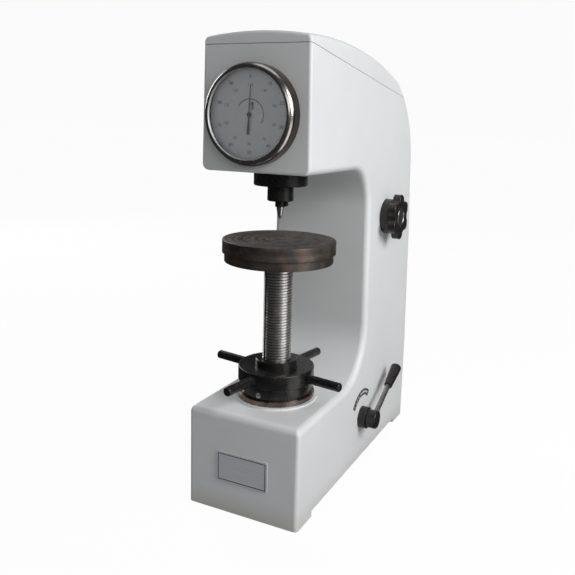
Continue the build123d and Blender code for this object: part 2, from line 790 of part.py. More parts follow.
# ---------------------------------------------------------------- spindle and indenter
with BuildPart() as spindle_bush:
    with BuildSketch(Plane.XY.offset(head_underside)):
        with Locations(screw_axis):
            Circle(bush_flange_radius)
    extrude(amount=-bush_flange_height)
    chamfer(spindle_bush.edges().sort_by(Axis.Z)[0], length=1)
    with BuildSketch(Plane.XY.offset(head_underside)):
        with Locations(screw_axis):
            Circle(bush_barrel_radius)
    extrude(amount=bush_top - head_underside)
    with BuildSketch(Plane.XY.offset(head_underside - bush_flange_height)):
        with Locations(screw_axis):
            Circle(spindle_radius + running)
    extrude(amount=bush_top - head_underside + bush_flange_height, mode=Mode.SUBTRACT)
spindle_bush.part.label = "spindle_bush"

clamp_z = nose_bottom + nose_length / 2
spring_bottom = bush_top + easy + nut_height + easy

with BuildPart() as spindle:
    with BuildSketch(Plane.XY.offset(neck_bottom)):
        with Locations(screw_axis):
            Circle(neck_radius)
    extrude(amount=neck_top - neck_bottom)
    chamfer(spindle.edges().sort_by(Axis.Z)[0], length=1)
    with BuildSketch(Plane.XY.offset(neck_top)):
        with Locations(screw_axis):
            Circle(spindle_radius)
    extrude(amount=spindle_top - neck_top)
    with BuildSketch(Plane.XY.offset(nose_bottom)):
        with Locations(screw_axis):
            Circle(nose_radius)
    extrude(amount=nose_length)
    with BuildSketch(Plane.XY.offset(nose_bottom)):
        with Locations(screw_axis):
            Circle(indenter_radius + seat)
    extrude(amount=indenter_shank_length + easy, mode=Mode.SUBTRACT)
    with BuildSketch(side_plane(nose_radius + 1)):
        with Locations((screw_y, clamp_z)):
            Circle(clamp_screw_radius + seat)
    extrude(amount=-nose_radius, mode=Mode.SUBTRACT)
    # seat for the lever's load edge
    with BuildSketch(side_plane(spindle_radius)):
        with Locations((screw_y, spindle_top)):
            RegularPolygon(3, 4, rotation=45)
    extrude(amount=-2 * spindle_radius, mode=Mode.SUBTRACT)
spindle.part.label = "spindle"

with BuildPart() as indenter:
    with BuildSketch(Plane.XZ) as profile:
        with BuildLine():
            Polyline(
                (0, indenter_tip),
                (indenter_foot_radius * 0.4, indenter_tip + indenter_cone_height / 4),
                (indenter_foot_radius, indenter_tip + indenter_cone_height),
                (indenter_foot_radius, indenter_tip + 1.3 * indenter_cone_height),
                (indenter_radius, nose_bottom - 1),
                (indenter_radius, nose_bottom + indenter_shank_length),
                (0, nose_bottom + indenter_shank_length),
                close=True,
            )
        make_face()
    add(revolve(profile.sketch, axis=Axis.Z, mode=Mode.PRIVATE).moved(Pos(0, screw_y, 0)))
indenter.part.label = "indenter"

with BuildPart() as clamp_screw:
    with BuildSketch(side_plane(indenter_radius + seat)):
        with Locations((screw_y, clamp_z)):
            Circle(clamp_screw_radius)
    extrude(amount=nose_radius + 1.5 - indenter_radius)
    with BuildSketch(side_plane(nose_radius + 1)):
        with Locations((screw_y, clamp_z)):
            Circle(clamp_screw_radius + 1)
    extrude(amount=clamp_screw_reach - nose_radius - 1)
    chamfer(clamp_screw.edges().sort_by(Axis.X)[-1], length=0.5)
clamp_screw.part.label = "clamp_screw"

with BuildPart() as spindle_nut:
    with BuildSketch(Plane.XY.offset(bush_top + easy)):
        with Locations(screw_axis):
            RegularPolygon(nut_radius, 6)
            Circle(spindle_radius + seat, mode=Mode.SUBTRACT)
    extrude(amount=nut_height)
spindle_nut.part.label = "spindle_nut"

with BuildPart() as preload_spring:
    pitch = (spring_height - spring_wire) / spring_turns
    coil_start = spring_bottom + spring_wire / 2
    with BuildLine(Plane(origin=(0, screw_y, coil_start))) as coil:
        Helix(pitch=pitch, height=spring_turns * pitch, radius=spring_radius)
    with BuildSketch(Plane(origin=coil.line @ 0, z_dir=coil.line % 0)):
        Circle(spring_wire / 2)
    sweep(path=coil.line)
preload_spring.part.label = "preload_spring"

with BuildPart() as measuring_arm:
    arm_bottom = spring_bottom + spring_height + easy
    with BuildSketch(Plane.XY.offset(arm_bottom)):
        with Locations(screw_axis):
            Circle(nut_radius)
        with Locations((0, screw_y - plunger_setback / 2)):
            RectangleRounded(4.5 * plunger_radius, plunger_setback + 4 * plunger_radius, 2 * plunger_radius)
        with Locations(screw_axis):
            Circle(spindle_radius + seat, mode=Mode.SUBTRACT)
    extrude(amount=arm_thickness)
measuring_arm.part.label = "measuring_arm"

# ---------------------------------------------------------------- dial
case_back_y = head_y + dial_case_depth
plunger_y = screw_y - plunger_setback
plate_y = case_back_y - plate_setback
lip_y = head_y - bezel_reach
face_y = lip_y + face_setback
guide_bottom = arm_bottom + arm_thickness + 2
counter_spot = (counter_side, dial_height + counter_offset)

with BuildPart() as dial_case:
    with BuildSketch(front_plane(case_back_y)):
        with Locations(dial_centre):
            Circle(dial_case_radius)
    extrude(amount=dial_case_depth)
    with BuildSketch(front_plane(head_y)):
        with Locations(dial_centre):
            Circle(dial_flange_radius)
    extrude(amount=dial_flange)
    with BuildSketch(front_plane(case_back_y - dial_case_wall)):
        with Locations(dial_centre):
            Circle(dial_case_radius - dial_case_wall)
    extrude(amount=dial_case_depth + dial_flange, mode=Mode.SUBTRACT)
    # guide for the plunger, on the case's back
    with BuildSketch(Plane.XY.offset(guide_bottom)):
        with Locations((0, (case_back_y + plunger_y + 2 * plunger_radius) / 2)):
            Rectangle(5 * plunger_radius, plunger_y + 2 * plunger_radius - case_back_y)
        with Locations((0, plunger_y)):
            Circle(plunger_radius + running, mode=Mode.SUBTRACT)
    extrude(amount=guide_height)
dial_case.part.label = "dial_case"

with BuildPart() as dial_plunger:
    with BuildSketch(Plane.XY.offset(arm_bottom + arm_thickness)):
        with Locations((0, plunger_y)):
            Circle(plunger_radius)
    extrude(amount=guide_height + 8)
    fillet(dial_plunger.edges().sort_by(Axis.Z)[-1], radius=plunger_radius / 2)
dial_plunger.part.label = "dial_plunger"

with BuildPart() as movement_plate:
    with BuildSketch(front_plane(plate_y)):
        with Locations(dial_centre):
            Circle(dial_case_radius - dial_case_wall - seat)
            Circle(arbor_radius + running, mode=Mode.SUBTRACT)
        with Locations(counter_spot):
            Circle(arbor_radius / 2 + running, mode=Mode.SUBTRACT)
    extrude(amount=3)
movement_plate.part.label = "movement_plate"

with BuildPart() as counter_face:
    with BuildSketch(front_plane(plate_y - 3)):
        with Locations(dial_centre):
            Circle(counter_face_radius * 0.85)
    extrude(amount=plate_y - 3 - face_y)
    with BuildSketch(front_plane(face_y + face_thickness)):
        with Locations(dial_centre):
            Circle(counter_face_radius)
    extrude(amount=face_thickness)
    with BuildSketch(front_plane(plate_y)):
        with Locations(dial_centre):
            Circle(arbor_radius + running)
        with Locations(counter_spot):
            Circle(arbor_radius / 2 + running)
    extrude(amount=plate_y - face_y + face_thickness, mode=Mode.SUBTRACT)
counter_face.part.label = "counter_face"

with BuildPart() as dial_face:
    with BuildSketch(front_plane(face_y + face_thickness)):
        with Locations(dial_centre):
            Circle(face_radius)
            Circle(counter_face_radius + counter_gap, mode=Mode.SUBTRACT)
    extrude(amount=face_thickness)
dial_face.part.label = "dial_face"

with BuildPart() as dial_bezel:
    glass_seat = lip_y + lip_thickness
    with BuildSketch(Plane.XZ):
        with BuildLine():
            skirt = Polyline(
                (dial_flange_radius + easy, -easy),
                (bezel_radius, -easy),
                (bezel_radius, -bezel_straight),
            )
            shoulder = ThreePointArc(
                skirt @ 1,
                (bezel_radius - 1.2, -(bezel_straight + bezel_reach) / 2 - 1),
                (bezel_lip_radius, -bezel_reach),
            )
            Polyline(
                shoulder @ 1,
                (bezel_opening + 1, -bezel_reach),
                (bezel_opening, -bezel_reach + 1),
                (bezel_opening, -bezel_reach + lip_thickness),
                (face_radius + running, -bezel_reach + lip_thickness),
                (face_radius + running, -dial_flange - easy),
                (dial_flange_radius + easy, -dial_flange - easy),
                skirt @ 0,
            )
        make_face()
    revolve(axis=Axis.Z)
dial_bezel.part = dial_bezel.part.moved(Pos(0, head_y, dial_height) * Rot(X=-90))
dial_bezel.part.label = "dial_bezel"

with BuildPart() as dial_glass:
    with BuildSketch(front_plane(glass_seat + glass_thickness)):
        with Locations(dial_centre):
            Circle(face_radius)
    extrude(amount=glass_thickness)
dial_glass.part.label = "dial_glass"

with BuildPart() as pointer_arbor:
    with BuildSketch(front_plane(plate_y)):
        with Locations(dial_centre):
            Circle(arbor_radius)
    extrude(amount=plate_y - face_y + 4)
pointer_arbor.part.label = "pointer_arbor"

lean_angle = radians(pointer_lean)
pointer_plane = Plane(
    origin=(0, face_y - 2, dial_height),
    x_dir=(cos(lean_angle), 0, -sin(lean_angle)),
    z_dir=(0, -1, 0),
)

with BuildPart() as long_pointer:
    with BuildSketch(pointer_plane):
        Polygon(
            (-pointer_width / 2, 0),
            (-0.3, pointer_tip),
            (0.3, pointer_tip),
            (pointer_width / 2, 0),
            align=None,
        )
        Polygon(
            (-pointer_width / 2, 0),
            (pointer_width / 2, 0),
            (tail_width / 2, -pointer_tail),
            (-tail_width / 2, -pointer_tail),
            align=None,
        )
        Circle(2 * arbor_radius)
        Circle(arbor_radius + seat, mode=Mode.SUBTRACT)
    extrude(amount=pointer_thickness)
long_pointer.part.label = "long_pointer"

with BuildPart() as short_pointer:
    with BuildSketch(front_plane(face_y - 0.8)):
        with Locations(counter_spot):
            Circle(arbor_radius)
        with Locations((counter_side, dial_height + counter_offset - counter_length / 2)):
            Rectangle(arbor_radius * 0.8, counter_length)
    extrude(amount=pointer_thickness)
    with BuildSketch(front_plane(plate_y)):
        with Locations(counter_spot):
            Circle(arbor_radius / 2)
    extrude(amount=plate_y - face_y + 1)
short_pointer.part.label = "short_pointer"

# ---------------------------------------------------------------- lever, hanger and weights
with BuildPart() as fulcrum_bracket:
    yoke_foot = head_underside + casting_wall + head_boss_height
    yoke_inside = lever_width / 2 + 10
    yoke_height = fulcrum_z + seat - yoke_foot + yoke_bar_height
    with BuildSketch(front_plane(fulcrum_y + yoke_post_depth / 2)):
        with Locations((0, yoke_foot + yoke_height / 2)):
            Rectangle(2 * (yoke_inside + yoke_post_width), yoke_height)
        with Locations((0, yoke_foot + (yoke_height - yoke_bar_height) / 2)):
            Rectangle(2 * yoke_inside, yoke_height - yoke_bar_height, mode=Mode.SUBTRACT)
    extrude(amount=yoke_post_depth)
    fillet(fulcrum_bracket.edges().filter_by(Axis.Y).sort_by(Axis.Z)[-2:], radius=4)
fulcrum_bracket.part.label = "fulcrum_bracket"

with BuildPart() as main_lever:
    lever_front = fulcrum_y - lever_front_overhang
    lever_rear = hanger_y + lever_rear_overhang
    with BuildSketch(side_plane(-lever_width / 2)):
        Polygon(
            (lever_front, lever_floor),
            (lever_rear, lever_floor),
            (lever_rear, lever_floor + lever_rear_depth),
            (hanger_y - lever_rear_overhang, lever_floor + lever_rear_depth),
            (screw_y + lever_front_overhang, lever_top),
            (lever_front, lever_top),
            align=None,
        )
    extrude(amount=lever_width)
    fillet(main_lever.edges().filter_by(Axis.X), radius=2)
    # lightening holes
    with BuildSketch(side_plane(-lever_width / 2)):
        with Locations((0, lever_floor + lever_rear_depth / 2)):
            with GridLocations(2.4 * lever_width, 0, 3, 1):
                SlotOverall(2 * lever_width, lever_rear_depth * 0.45)
    extrude(amount=lever_width, mode=Mode.SUBTRACT)
main_lever.part.label = "main_lever"

with BuildPart() as lever_knife_edges:
    with BuildSketch(side_plane(-lever_width / 2)):
        half_knife = knife_height * 0.6
        Polygon(
            (fulcrum_y - half_knife, lever_top),
            (fulcrum_y + half_knife, lever_top),
            (fulcrum_y, fulcrum_z),
            align=None,
        )
        Polygon(
            (screw_y - half_knife, lever_floor),
            (screw_y, load_edge_z),
            (screw_y + half_knife, lever_floor),
            align=None,
        )
        Polygon(
            (hanger_y - half_knife, hanger_edge_z - knife_height),
            (hanger_y + half_knife, hanger_edge_z - knife_height),
            (hanger_y, hanger_edge_z),
            align=None,
        )
    extrude(amount=lever_width)
lever_knife_edges.part.label = "lever_knife_edges"

with BuildPart() as hanger_stirrup:
    stirrup_top = hanger_edge_z + easy + stirrup_bar
    stirrup_inside = lever_width / 2 + 1
    with BuildSketch(front_plane(hanger_y + stirrup_depth / 2)):
        with Locations((0, stirrup_top - stirrup_drop / 2)):
            Rectangle(2 * (stirrup_inside + stirrup_width), stirrup_drop)
            Rectangle(2 * stirrup_inside, stirrup_drop - 2 * stirrup_bar, mode=Mode.SUBTRACT)
    extrude(amount=stirrup_depth)
    fillet(hanger_stirrup.edges().filter_by(Axis.Y).sort_by(Axis.Z)[-2:], radius=3)
    with BuildSketch(Plane.XY.offset(stirrup_top - stirrup_drop)):
        with Locations((0, hanger_y)):
            Circle(hanger_rod_radius + seat)
    extrude(amount=stirrup_bar, mode=Mode.SUBTRACT)
hanger_stirrup.part.label = "hanger_stirrup"

with BuildPart() as hanger_rod:
    with BuildSketch(Plane.XY.offset(pan_bottom)):
        with Locations((0, hanger_y)):
            Circle(hanger_rod_radius)
    extrude(amount=stirrup_top - stirrup_drop + stirrup_bar - pan_bottom)
hanger_rod.part.label = "hanger_rod"

with BuildPart() as weight_pan:
    with BuildSketch(Plane.XY.offset(pan_bottom)):
        with Locations((0, hanger_y)):
            Circle(pan_radius)
            Circle(hanger_rod_radius + seat, mode=Mode.SUBTRACT)
    extrude(amount=pan_height)
    pan_rims = weight_pan.edges().filter_by(GeomType.CIRCLE).filter_by(lambda e: e.radius > weight_radius)
    chamfer(pan_rims.sort_by(Axis.Z)[-1], length=1.5)
weight_pan.part.label = "weight_pan"

trunnion_heights = (
    middle_weight_bottom + middle_weight_height / 2,
    top_weight_bottom + top_weight_height / 2,
)


def weight_disc(bottom, height):
    with BuildPart() as disc:
        with BuildSketch(Plane.XY.offset(bottom)):
            with Locations((0, hanger_y)):
                Circle(weight_radius)
                Circle(weight_hole_radius, mode=Mode.SUBTRACT)
        extrude(amount=height)
        rims = disc.edges().filter_by(GeomType.CIRCLE).filter_by(lambda e: e.radius > weight_hole_radius)
        chamfer(rims, length=1.5)
    return disc.part


def trunnions(height):
    with BuildPart() as pegs:
        for side in (-1, 1):
            with BuildSketch(side_plane(side * trunnion_reach)):
                with Locations((hanger_y, height)):
                    Circle(trunnion_radius)
            extrude(amount=-side * (trunnion_reach - weight_radius + trunnion_radius))
    return pegs.part


with BuildPart() as base_weight:
    add(weight_disc(base_weight_bottom, base_weight_height))
base_weight.part.label = "base_weight"

with BuildPart() as middle_weight:
    add(weight_disc(middle_weight_bottom, middle_weight_height))
    add(trunnions(trunnion_heights[0]))
middle_weight.part.label = "middle_weight"

with BuildPart() as top_weight:
    add(weight_disc(top_weight_bottom, top_weight_height))
    add(trunnions(trunnion_heights[1]))
top_weight.part.label = "top_weight"

with BuildPart() as weight_carrier:
    strap_inside = trunnion_reach + 1
    strap_bottom = trunnion_heights[0] - trunnion_radius - running - lug_height
    yoke_bottom = selector_height + cam_peak_radius + cam_gap
    yoke_top = yoke_bottom + 1.3 * strap_thickness
    tie_back = hanger_y + 1.2 * strap_width
    for side in (-1, 1):
        with BuildSketch(side_plane(side * strap_inside)):
            with Locations((hanger_y, (strap_bottom + yoke_top) / 2)):
                Rectangle(strap_width, yoke_top - strap_bottom)
            with Locations(((selector_back - strap_width + tie_back) / 2, (yoke_bottom + yoke_top) / 2)):
                Rectangle(tie_back - selector_back + strap_width, yoke_top - yoke_bottom)
        extrude(amount=side * strap_thickness)
        # lugs under the weights' trunnions
        with BuildSketch(side_plane(side * (weight_radius + 2))):
            for height in trunnion_heights:
                with Locations((hanger_y, height - trunnion_radius - running - lug_height / 2)):
                    Rectangle(strap_width * 0.75, lug_height)
        extrude(amount=side * (strap_inside - weight_radius - 2))
    with BuildSketch(Plane.XY.offset(yoke_bottom)):
        with Locations((0, tie_back - strap_thickness / 2)):
            Rectangle(2 * strap_inside, strap_thickness)
    extrude(amount=yoke_top - yoke_bottom)
weight_carrier.part.label = "weight_carrier"

# ---------------------------------------------------------------- load selector
disc_face_x = pad_face_x + boss_disc_height
knob_x = disc_face_x + 0.5
stop_x = inner_stop_x - 1

with BuildPart() as selector_base:
    with BuildSketch(side_plane(pad_face_x)):
        with Locations(selector_spot):
            Circle(boss_disc_radius)
    extrude(amount=boss_disc_height)
    fillet(selector_base.edges().sort_by(Axis.X)[-1], radius=1.5)
    with BuildSketch(side_plane(boss_inner_x)):
        with Locations(selector_spot):
            Circle(bearing_barrel_radius)
    extrude(amount=pad_face_x - boss_inner_x)
    with BuildSketch(side_plane(boss_inner_x)):
        with Locations(selector_spot):
            Circle(selector_shaft_radius + running)
    extrude(amount=disc_face_x - boss_inner_x, mode=Mode.SUBTRACT)
selector_base.part.label = "selector_base"

with BuildPart() as selector_shaft:
    with BuildSketch(side_plane(-stop_x)):
        with Locations(selector_spot):
            Circle(selector_shaft_radius)
    extrude(amount=stop_x + knob_x + knob_height - knob_recess_depth - 2)
selector_shaft.part.label = "selector_shaft"

with BuildPart() as selector_cams:
    for side in (-1, 1):
        with BuildSketch(side_plane(side * cam_offset - cam_width / 2)):
            with BuildLine():
                Spline(*cam_outline(selector_cam_radius, selector_spot), periodic=True)
            make_face()
            with Locations(selector_spot):
                Circle(selector_shaft_radius + seat, mode=Mode.SUBTRACT)
        extrude(amount=cam_width)
selector_cams.part.label = "selector_cams"

with BuildPart() as selector_knob:
    with BuildSketch(side_plane(knob_x)) as lobed:
        with Locations(selector_spot):
            Circle(knob_core_radius)
            with PolarLocations(knob_radius - knob_lobe_radius, knob_lobe_count, start_angle=90):
                Circle(knob_lobe_radius)
        fillet(lobed.vertices(), radius=knob_lobe_radius / 3)
    extrude(amount=knob_height)
    outer_rim = selector_knob.faces().sort_by(Axis.X)[-1].edges()
    fillet(outer_rim, radius=1.6)
    with BuildSketch(side_plane(knob_x + knob_height)):
        with Locations(selector_spot):
            Circle(knob_recess_radius)
    extrude(amount=-knob_recess_depth, mode=Mode.SUBTRACT)
    with BuildSketch(side_plane(knob_x)):
        with Locations(selector_spot):
            Circle(selector_shaft_radius + seat)
    extrude(amount=knob_height - knob_recess_depth - 2, mode=Mode.SUBTRACT)
selector_knob.part.label = "selector_knob"

with BuildPart() as knob_disc:
    with BuildSketch(side_plane(knob_x + knob_height - knob_recess_depth)):
        with Locations(selector_spot):
            Circle(knob_recess_radius - seat)
    extrude(amount=knob_recess_depth * 0.7)
knob_disc.part.label = "knob_disc"

# ---------------------------------------------------------------- loading handle and lifting fork
hub_x = half_base + handle_bush_height + easy
rod_x = hub_x + handle_hub_height / 2
lean = radians(handle_lean)
handle_direction = Vector(0, cos(lean), sin(lean))


def handle_plane(radius):
    # faces outwards along the handle's rod, at this radius from the handle's axis
    origin = Vector(rod_x, handle_back, handle_height) + handle_direction * radius
    return Plane(origin=origin, x_dir=(1, 0, 0), z_dir=handle_direction)


with BuildPart() as handle_bush:
    with BuildSketch(side_plane(half_base)):
        with Locations(handle_spot):
            Circle(handle_bush_radius)
    extrude(amount=handle_bush_height)
    fillet(handle_bush.edges().sort_by(Axis.X)[-1], radius=1)
    with BuildSketch(side_plane(boss_inner_x)):
        with Locations(handle_spot):
            Circle(bearing_barrel_radius)
    extrude(amount=half_base - boss_inner_x)
    with BuildSketch(side_plane(boss_inner_x)):
        with Locations(handle_spot):
            Circle(handle_shaft_radius + running)
    extrude(amount=half_base + handle_bush_height - boss_inner_x, mode=Mode.SUBTRACT)
handle_bush.part.label = "handle_bush"

with BuildPart() as handle_shaft:
    with BuildSketch(side_plane(-stop_x)):
        with Locations(handle_spot):
            Circle(handle_shaft_radius)
    extrude(amount=stop_x + hub_x + handle_hub_height * 0.8)
handle_shaft.part.label = "handle_shaft"

with BuildPart() as handle_hub:
    with BuildSketch(side_plane(hub_x)):
        with Locations(handle_spot):
            Circle(handle_hub_radius)
    extrude(amount=handle_hub_height)
    fillet(handle_hub.edges().sort_by(Axis.X)[-1], radius=2)
    with BuildSketch(side_plane(hub_x)):
        with Locations(handle_spot):
            Circle(handle_shaft_radius + seat)
    extrude(amount=handle_hub_height * 0.8 + seat, mode=Mode.SUBTRACT)
    with BuildSketch(handle_plane(handle_shaft_radius)):
        Circle(handle_rod_radius + seat)
    extrude(amount=handle_hub_radius, mode=Mode.SUBTRACT)
handle_hub.part.label = "handle_hub"

grip_start = handle_length - grip_length
rod_end = handle_length - grip_end_radius

with BuildPart() as handle_rod:
    with BuildSketch(handle_plane(handle_shaft_radius + easy)):
        Circle(handle_rod_radius)
    extrude(amount=rod_end - handle_shaft_radius - easy)
handle_rod.part.label = "handle_rod"

with BuildPart() as handle_grip:
    grip_flare = degrees(atan((grip_end_radius - grip_root_radius) / grip_length))
    with BuildSketch(handle_plane(grip_start)):
        Circle(grip_root_radius)
    extrude(amount=grip_length, taper=-grip_flare)
    grip_ends = handle_grip.edges().filter_by(GeomType.CIRCLE).sort_by(SortBy.RADIUS)
    fillet(grip_ends[-1], radius=grip_end_radius * 0.4)
    chamfer(grip_ends[0], length=1)
    with BuildSketch(handle_plane(grip_start)):
        Circle(handle_rod_radius + seat)
    extrude(amount=rod_end - grip_start + seat, mode=Mode.SUBTRACT)
handle_grip.part.label = "handle_grip"

with BuildPart() as lifting_cam:
    with BuildSketch(side_plane(-lifting_cam_width / 2)):
        with BuildLine():
            Spline(*cam_outline(lifting_cam_radius_at, handle_spot), periodic=True)
        make_face()
        with Locations(handle_spot):
            Circle(handle_shaft_radius + seat, mode=Mode.SUBTRACT)
    extrude(amount=lifting_cam_width)
lifting_cam.part.label = "lifting_cam"

with BuildPart() as fork_pivot_pin:
    with BuildSketch(side_plane(-stop_x)):
        with Locations(pivot_spot):
            Circle(fork_pin_radius)
    extrude(amount=2 * stop_x)
fork_pivot_pin.part.label = "fork_pivot_pin"

with BuildPart() as lifting_fork:
    arm_middle = fork_arm_inside + fork_arm_thickness / 2
    pad_top = pan_bottom - easy
    half_arm = fork_arm_depth / 2
    for side in (-1, 1):
        with BuildSketch(side_plane(side * arm_middle - fork_arm_thickness / 2)):
            with Locations((handle_back, fork_bar_z), (fork_pad_back, pad_top - half_arm)):
                Circle(half_arm)
            with Locations(pivot_spot):
                Circle(fork_arm_depth)
            with BuildLine():
                Polyline(
                    (handle_back, fork_bar_z + half_arm),
                    (fork_pivot_back - half_arm, fork_pivot_height + half_arm),
                    (fork_pad_back - half_arm, pad_top - half_arm),
                    (fork_pad_back, pad_top),
                    (fork_pad_back, pad_top - fork_arm_depth),
                    (fork_pivot_back + half_arm, fork_pivot_height - half_arm),
                    (handle_back, fork_bar_z - half_arm),
                    close=True,
                )
            make_face()
        extrude(amount=fork_arm_thickness)
    with BuildSketch(side_plane(-arm_middle)):
        with Locations((handle_back, fork_bar_z)):
            Circle(fork_bar_radius)
    extrude(amount=2 * arm_middle)
    with BuildSketch(side_plane(-arm_middle - fork_arm_thickness)):
        with Locations(pivot_spot):
            Circle(fork_pin_radius + running)
    extrude(amount=2 * (arm_middle + fork_arm_thickness), mode=Mode.SUBTRACT)
lifting_fork.part.label = "lifting_fork"

# ---------------------------------------------------------------- dashpot
cylinder_bottom = bracket_bottom + bracket_thickness

with BuildPart() as dashpot_bracket:
    with BuildSketch(Plane.XY.offset(bracket_bottom)):
        with Locations((0, hanger_y)):
            RectangleRounded(2 * (hollow_x - easy), bracket_depth, 4)
    extrude(amount=bracket_thickness)
dashpot_bracket.part.label = "dashpot_bracket"

with BuildPart() as dashpot_cylinder:
    with BuildSketch(Plane.XY.offset(cylinder_bottom)):
        with Locations((0, hanger_y)):
            Circle(dashpot_radius)
    extrude(amount=dashpot_height)
    with BuildSketch(Plane.XY.offset(cylinder_bottom + dashpot_wall)):
        with Locations((0, hanger_y)):
            Circle(dashpot_radius - dashpot_wall)
    extrude(amount=dashpot_height, mode=Mode.SUBTRACT)
dashpot_cylinder.part.label = "dashpot_cylinder"

with BuildPart() as dashpot_lid:
    with BuildSketch(Plane.XY.offset(cylinder_bottom + dashpot_height)):
        with Locations((0, hanger_y)):
            Circle(dashpot_radius)
            Circle(dashpot_rod_radius + easy, mode=Mode.SUBTRACT)
    extrude(amount=dashpot_lid_height)
    chamfer(dashpot_lid.edges().sort_by(Axis.Z)[-1], length=0.5)
dashpot_lid.part.label = "dashpot_lid"

with BuildPart() as dashpot_piston:
    piston_bottom = cylinder_bottom + dashpot_wall + hanger_drop + piston_height / 2
    with BuildSketch(Plane.XY.offset(piston_bottom)):
        with Locations((0, hanger_y)):
            Circle(dashpot_radius - dashpot_wall - piston_gap)
    extrude(amount=piston_height)
    with BuildSketch(Plane.XY.offset(piston_bottom)):
        with Locations((0, hanger_y)):
            Circle(dashpot_rod_radius)
    extrude(amount=pan_bottom - piston_bottom)
dashpot_piston.part.label = "dashpot_piston"

# ---------------------------------------------------------------- files
os.makedirs("parts", exist_ok=True)
pieces = [
    body_casting,
    top_cover,
    locating_pins,
    rear_cover,
    rear_cover_screws,
    name_plate,
    seat_ring,
    guide_sleeve,
    key_screw,
    thrust_bearing,
    handwheel_hub,
    handwheel_rods,
    elevating_screw,
    anvil,
    spindle_bush,
    spindle,
    indenter,
    clamp_screw,
    spindle_nut,
    preload_spring,
    measuring_arm,
    dial_plunger,
    dial_case,
    movement_plate,
    counter_face,
    dial_face,
    dial_bezel,
    dial_glass,
    pointer_arbor,
    long_pointer,
    short_pointer,
    fulcrum_bracket,
    main_lever,
    lever_knife_edges,
    hanger_stirrup,
    hanger_rod,
    weight_pan,
    base_weight,
    middle_weight,
    top_weight,
    weight_carrier,
    selector_base,
    selector_shaft,
    selector_cams,
    selector_knob,
    knob_disc,
    handle_bush,
    handle_shaft,
    handle_hub,
    handle_rod,
    handle_grip,
    lifting_cam,
    fork_pivot_pin,
    lifting_fork,
    dashpot_bracket,
    dashpot_cylinder,
    dashpot_lid,
    dashpot_piston,
]
for piece in pieces:
    export_step(piece.part, f"parts/{piece.part.label}.step")
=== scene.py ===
import math

import bmesh
import bpy
from mathutils import Matrix, Vector


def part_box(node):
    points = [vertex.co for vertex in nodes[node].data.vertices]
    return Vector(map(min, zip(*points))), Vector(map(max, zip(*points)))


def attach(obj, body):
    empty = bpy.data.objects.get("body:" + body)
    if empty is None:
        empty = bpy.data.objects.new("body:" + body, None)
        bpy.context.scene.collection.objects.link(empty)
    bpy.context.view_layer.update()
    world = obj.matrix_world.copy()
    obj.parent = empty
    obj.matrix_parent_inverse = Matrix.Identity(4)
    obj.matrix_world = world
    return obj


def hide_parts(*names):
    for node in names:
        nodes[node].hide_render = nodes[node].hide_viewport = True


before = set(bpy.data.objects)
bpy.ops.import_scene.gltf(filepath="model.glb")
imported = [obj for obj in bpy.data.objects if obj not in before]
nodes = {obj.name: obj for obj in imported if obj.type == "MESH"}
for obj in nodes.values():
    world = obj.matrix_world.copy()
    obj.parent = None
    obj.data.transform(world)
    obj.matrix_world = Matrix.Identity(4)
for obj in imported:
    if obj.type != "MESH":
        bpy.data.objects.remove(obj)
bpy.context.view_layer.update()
mm = 0.001


# ---- small helpers for node trees
def addNode(tree, kind, inputs=None, **settings):
    node = tree.nodes.new(kind)
    for key, value in settings.items():
        setattr(node, key, value)
    for key, value in (inputs or {}).items():
        node.inputs[key].default_value = value
    return node


def startMaterial(name, metallic=0.0, **sockets):
    mat = bpy.data.materials.new(name)
    mat.use_nodes = True
    shader = mat.node_tree.nodes["Principled BSDF"]
    shader.inputs["Metallic"].default_value = metallic
    for key, value in sockets.items():
        shader.inputs[key.replace("_", " ")].default_value = value
    return mat, mat.node_tree, shader


def emptyMaterial(name):
    # a material with nothing in it but its output
    mat = bpy.data.materials.new(name)
    mat.use_nodes = True
    mat.node_tree.nodes.clear()
    return mat, mat.node_tree, addNode(mat.node_tree, "ShaderNodeOutputMaterial")


def placeCoords(tree, centre=(0, 0, 0), stretch=(1, 1, 1)):
    # coordinates in metres, measured from centre
    coords = addNode(tree, "ShaderNodeTexCoord")
    offset = [-c * s for c, s in zip(centre, stretch)]
    shift = addNode(tree, "ShaderNodeMapping", {"Location": offset, "Scale": stretch})
    tree.links.new(coords.outputs["Object"], shift.inputs["Vector"])
    return shift.outputs["Vector"]


def noise(tree, vector, scale, detail=4.0, uneven=0.55):
    node = addNode(tree, "ShaderNodeTexNoise", {"Scale": scale, "Detail": detail, "Roughness": uneven})
    tree.links.new(vector, node.inputs["Vector"])
    return node.outputs["Fac"]


def rings(tree, vector, spacing, direction="Z"):
    # turned rings; a wave repeats every 2 pi / 20 of its scale
    shape = {"Scale": math.tau / 20 / spacing, "Distortion": 0.4, "Detail": 1.0}
    node = addNode(tree, "ShaderNodeTexWave", shape, wave_type="RINGS", rings_direction=direction)
    tree.links.new(vector, node.inputs["Vector"])
    return node.outputs["Fac"]


def ramp(tree, source, *stops):
    # stops are (place, grey or colour)
    node = addNode(tree, "ShaderNodeValToRGB")
    while len(node.color_ramp.elements) < len(stops):
        node.color_ramp.elements.new(0.5)
    for element, (place, colour) in zip(node.color_ramp.elements, stops):
        element.position = place
        element.color = (*colour, 1) if isinstance(colour, tuple) else (colour, colour, colour, 1)
    tree.links.new(source, node.inputs["Fac"])
    return node.outputs["Color"]


def patches(tree, vector, layer):
    # noise between two stops, as colours or as plain values
    shape = {key: layer[key] for key in ("detail", "uneven") if key in layer}
    cloud = noise(tree, vector, layer["scale"], **shape)
    return ramp(tree, cloud, (layer["start"], layer["low"]), (layer["end"], layer["high"]))


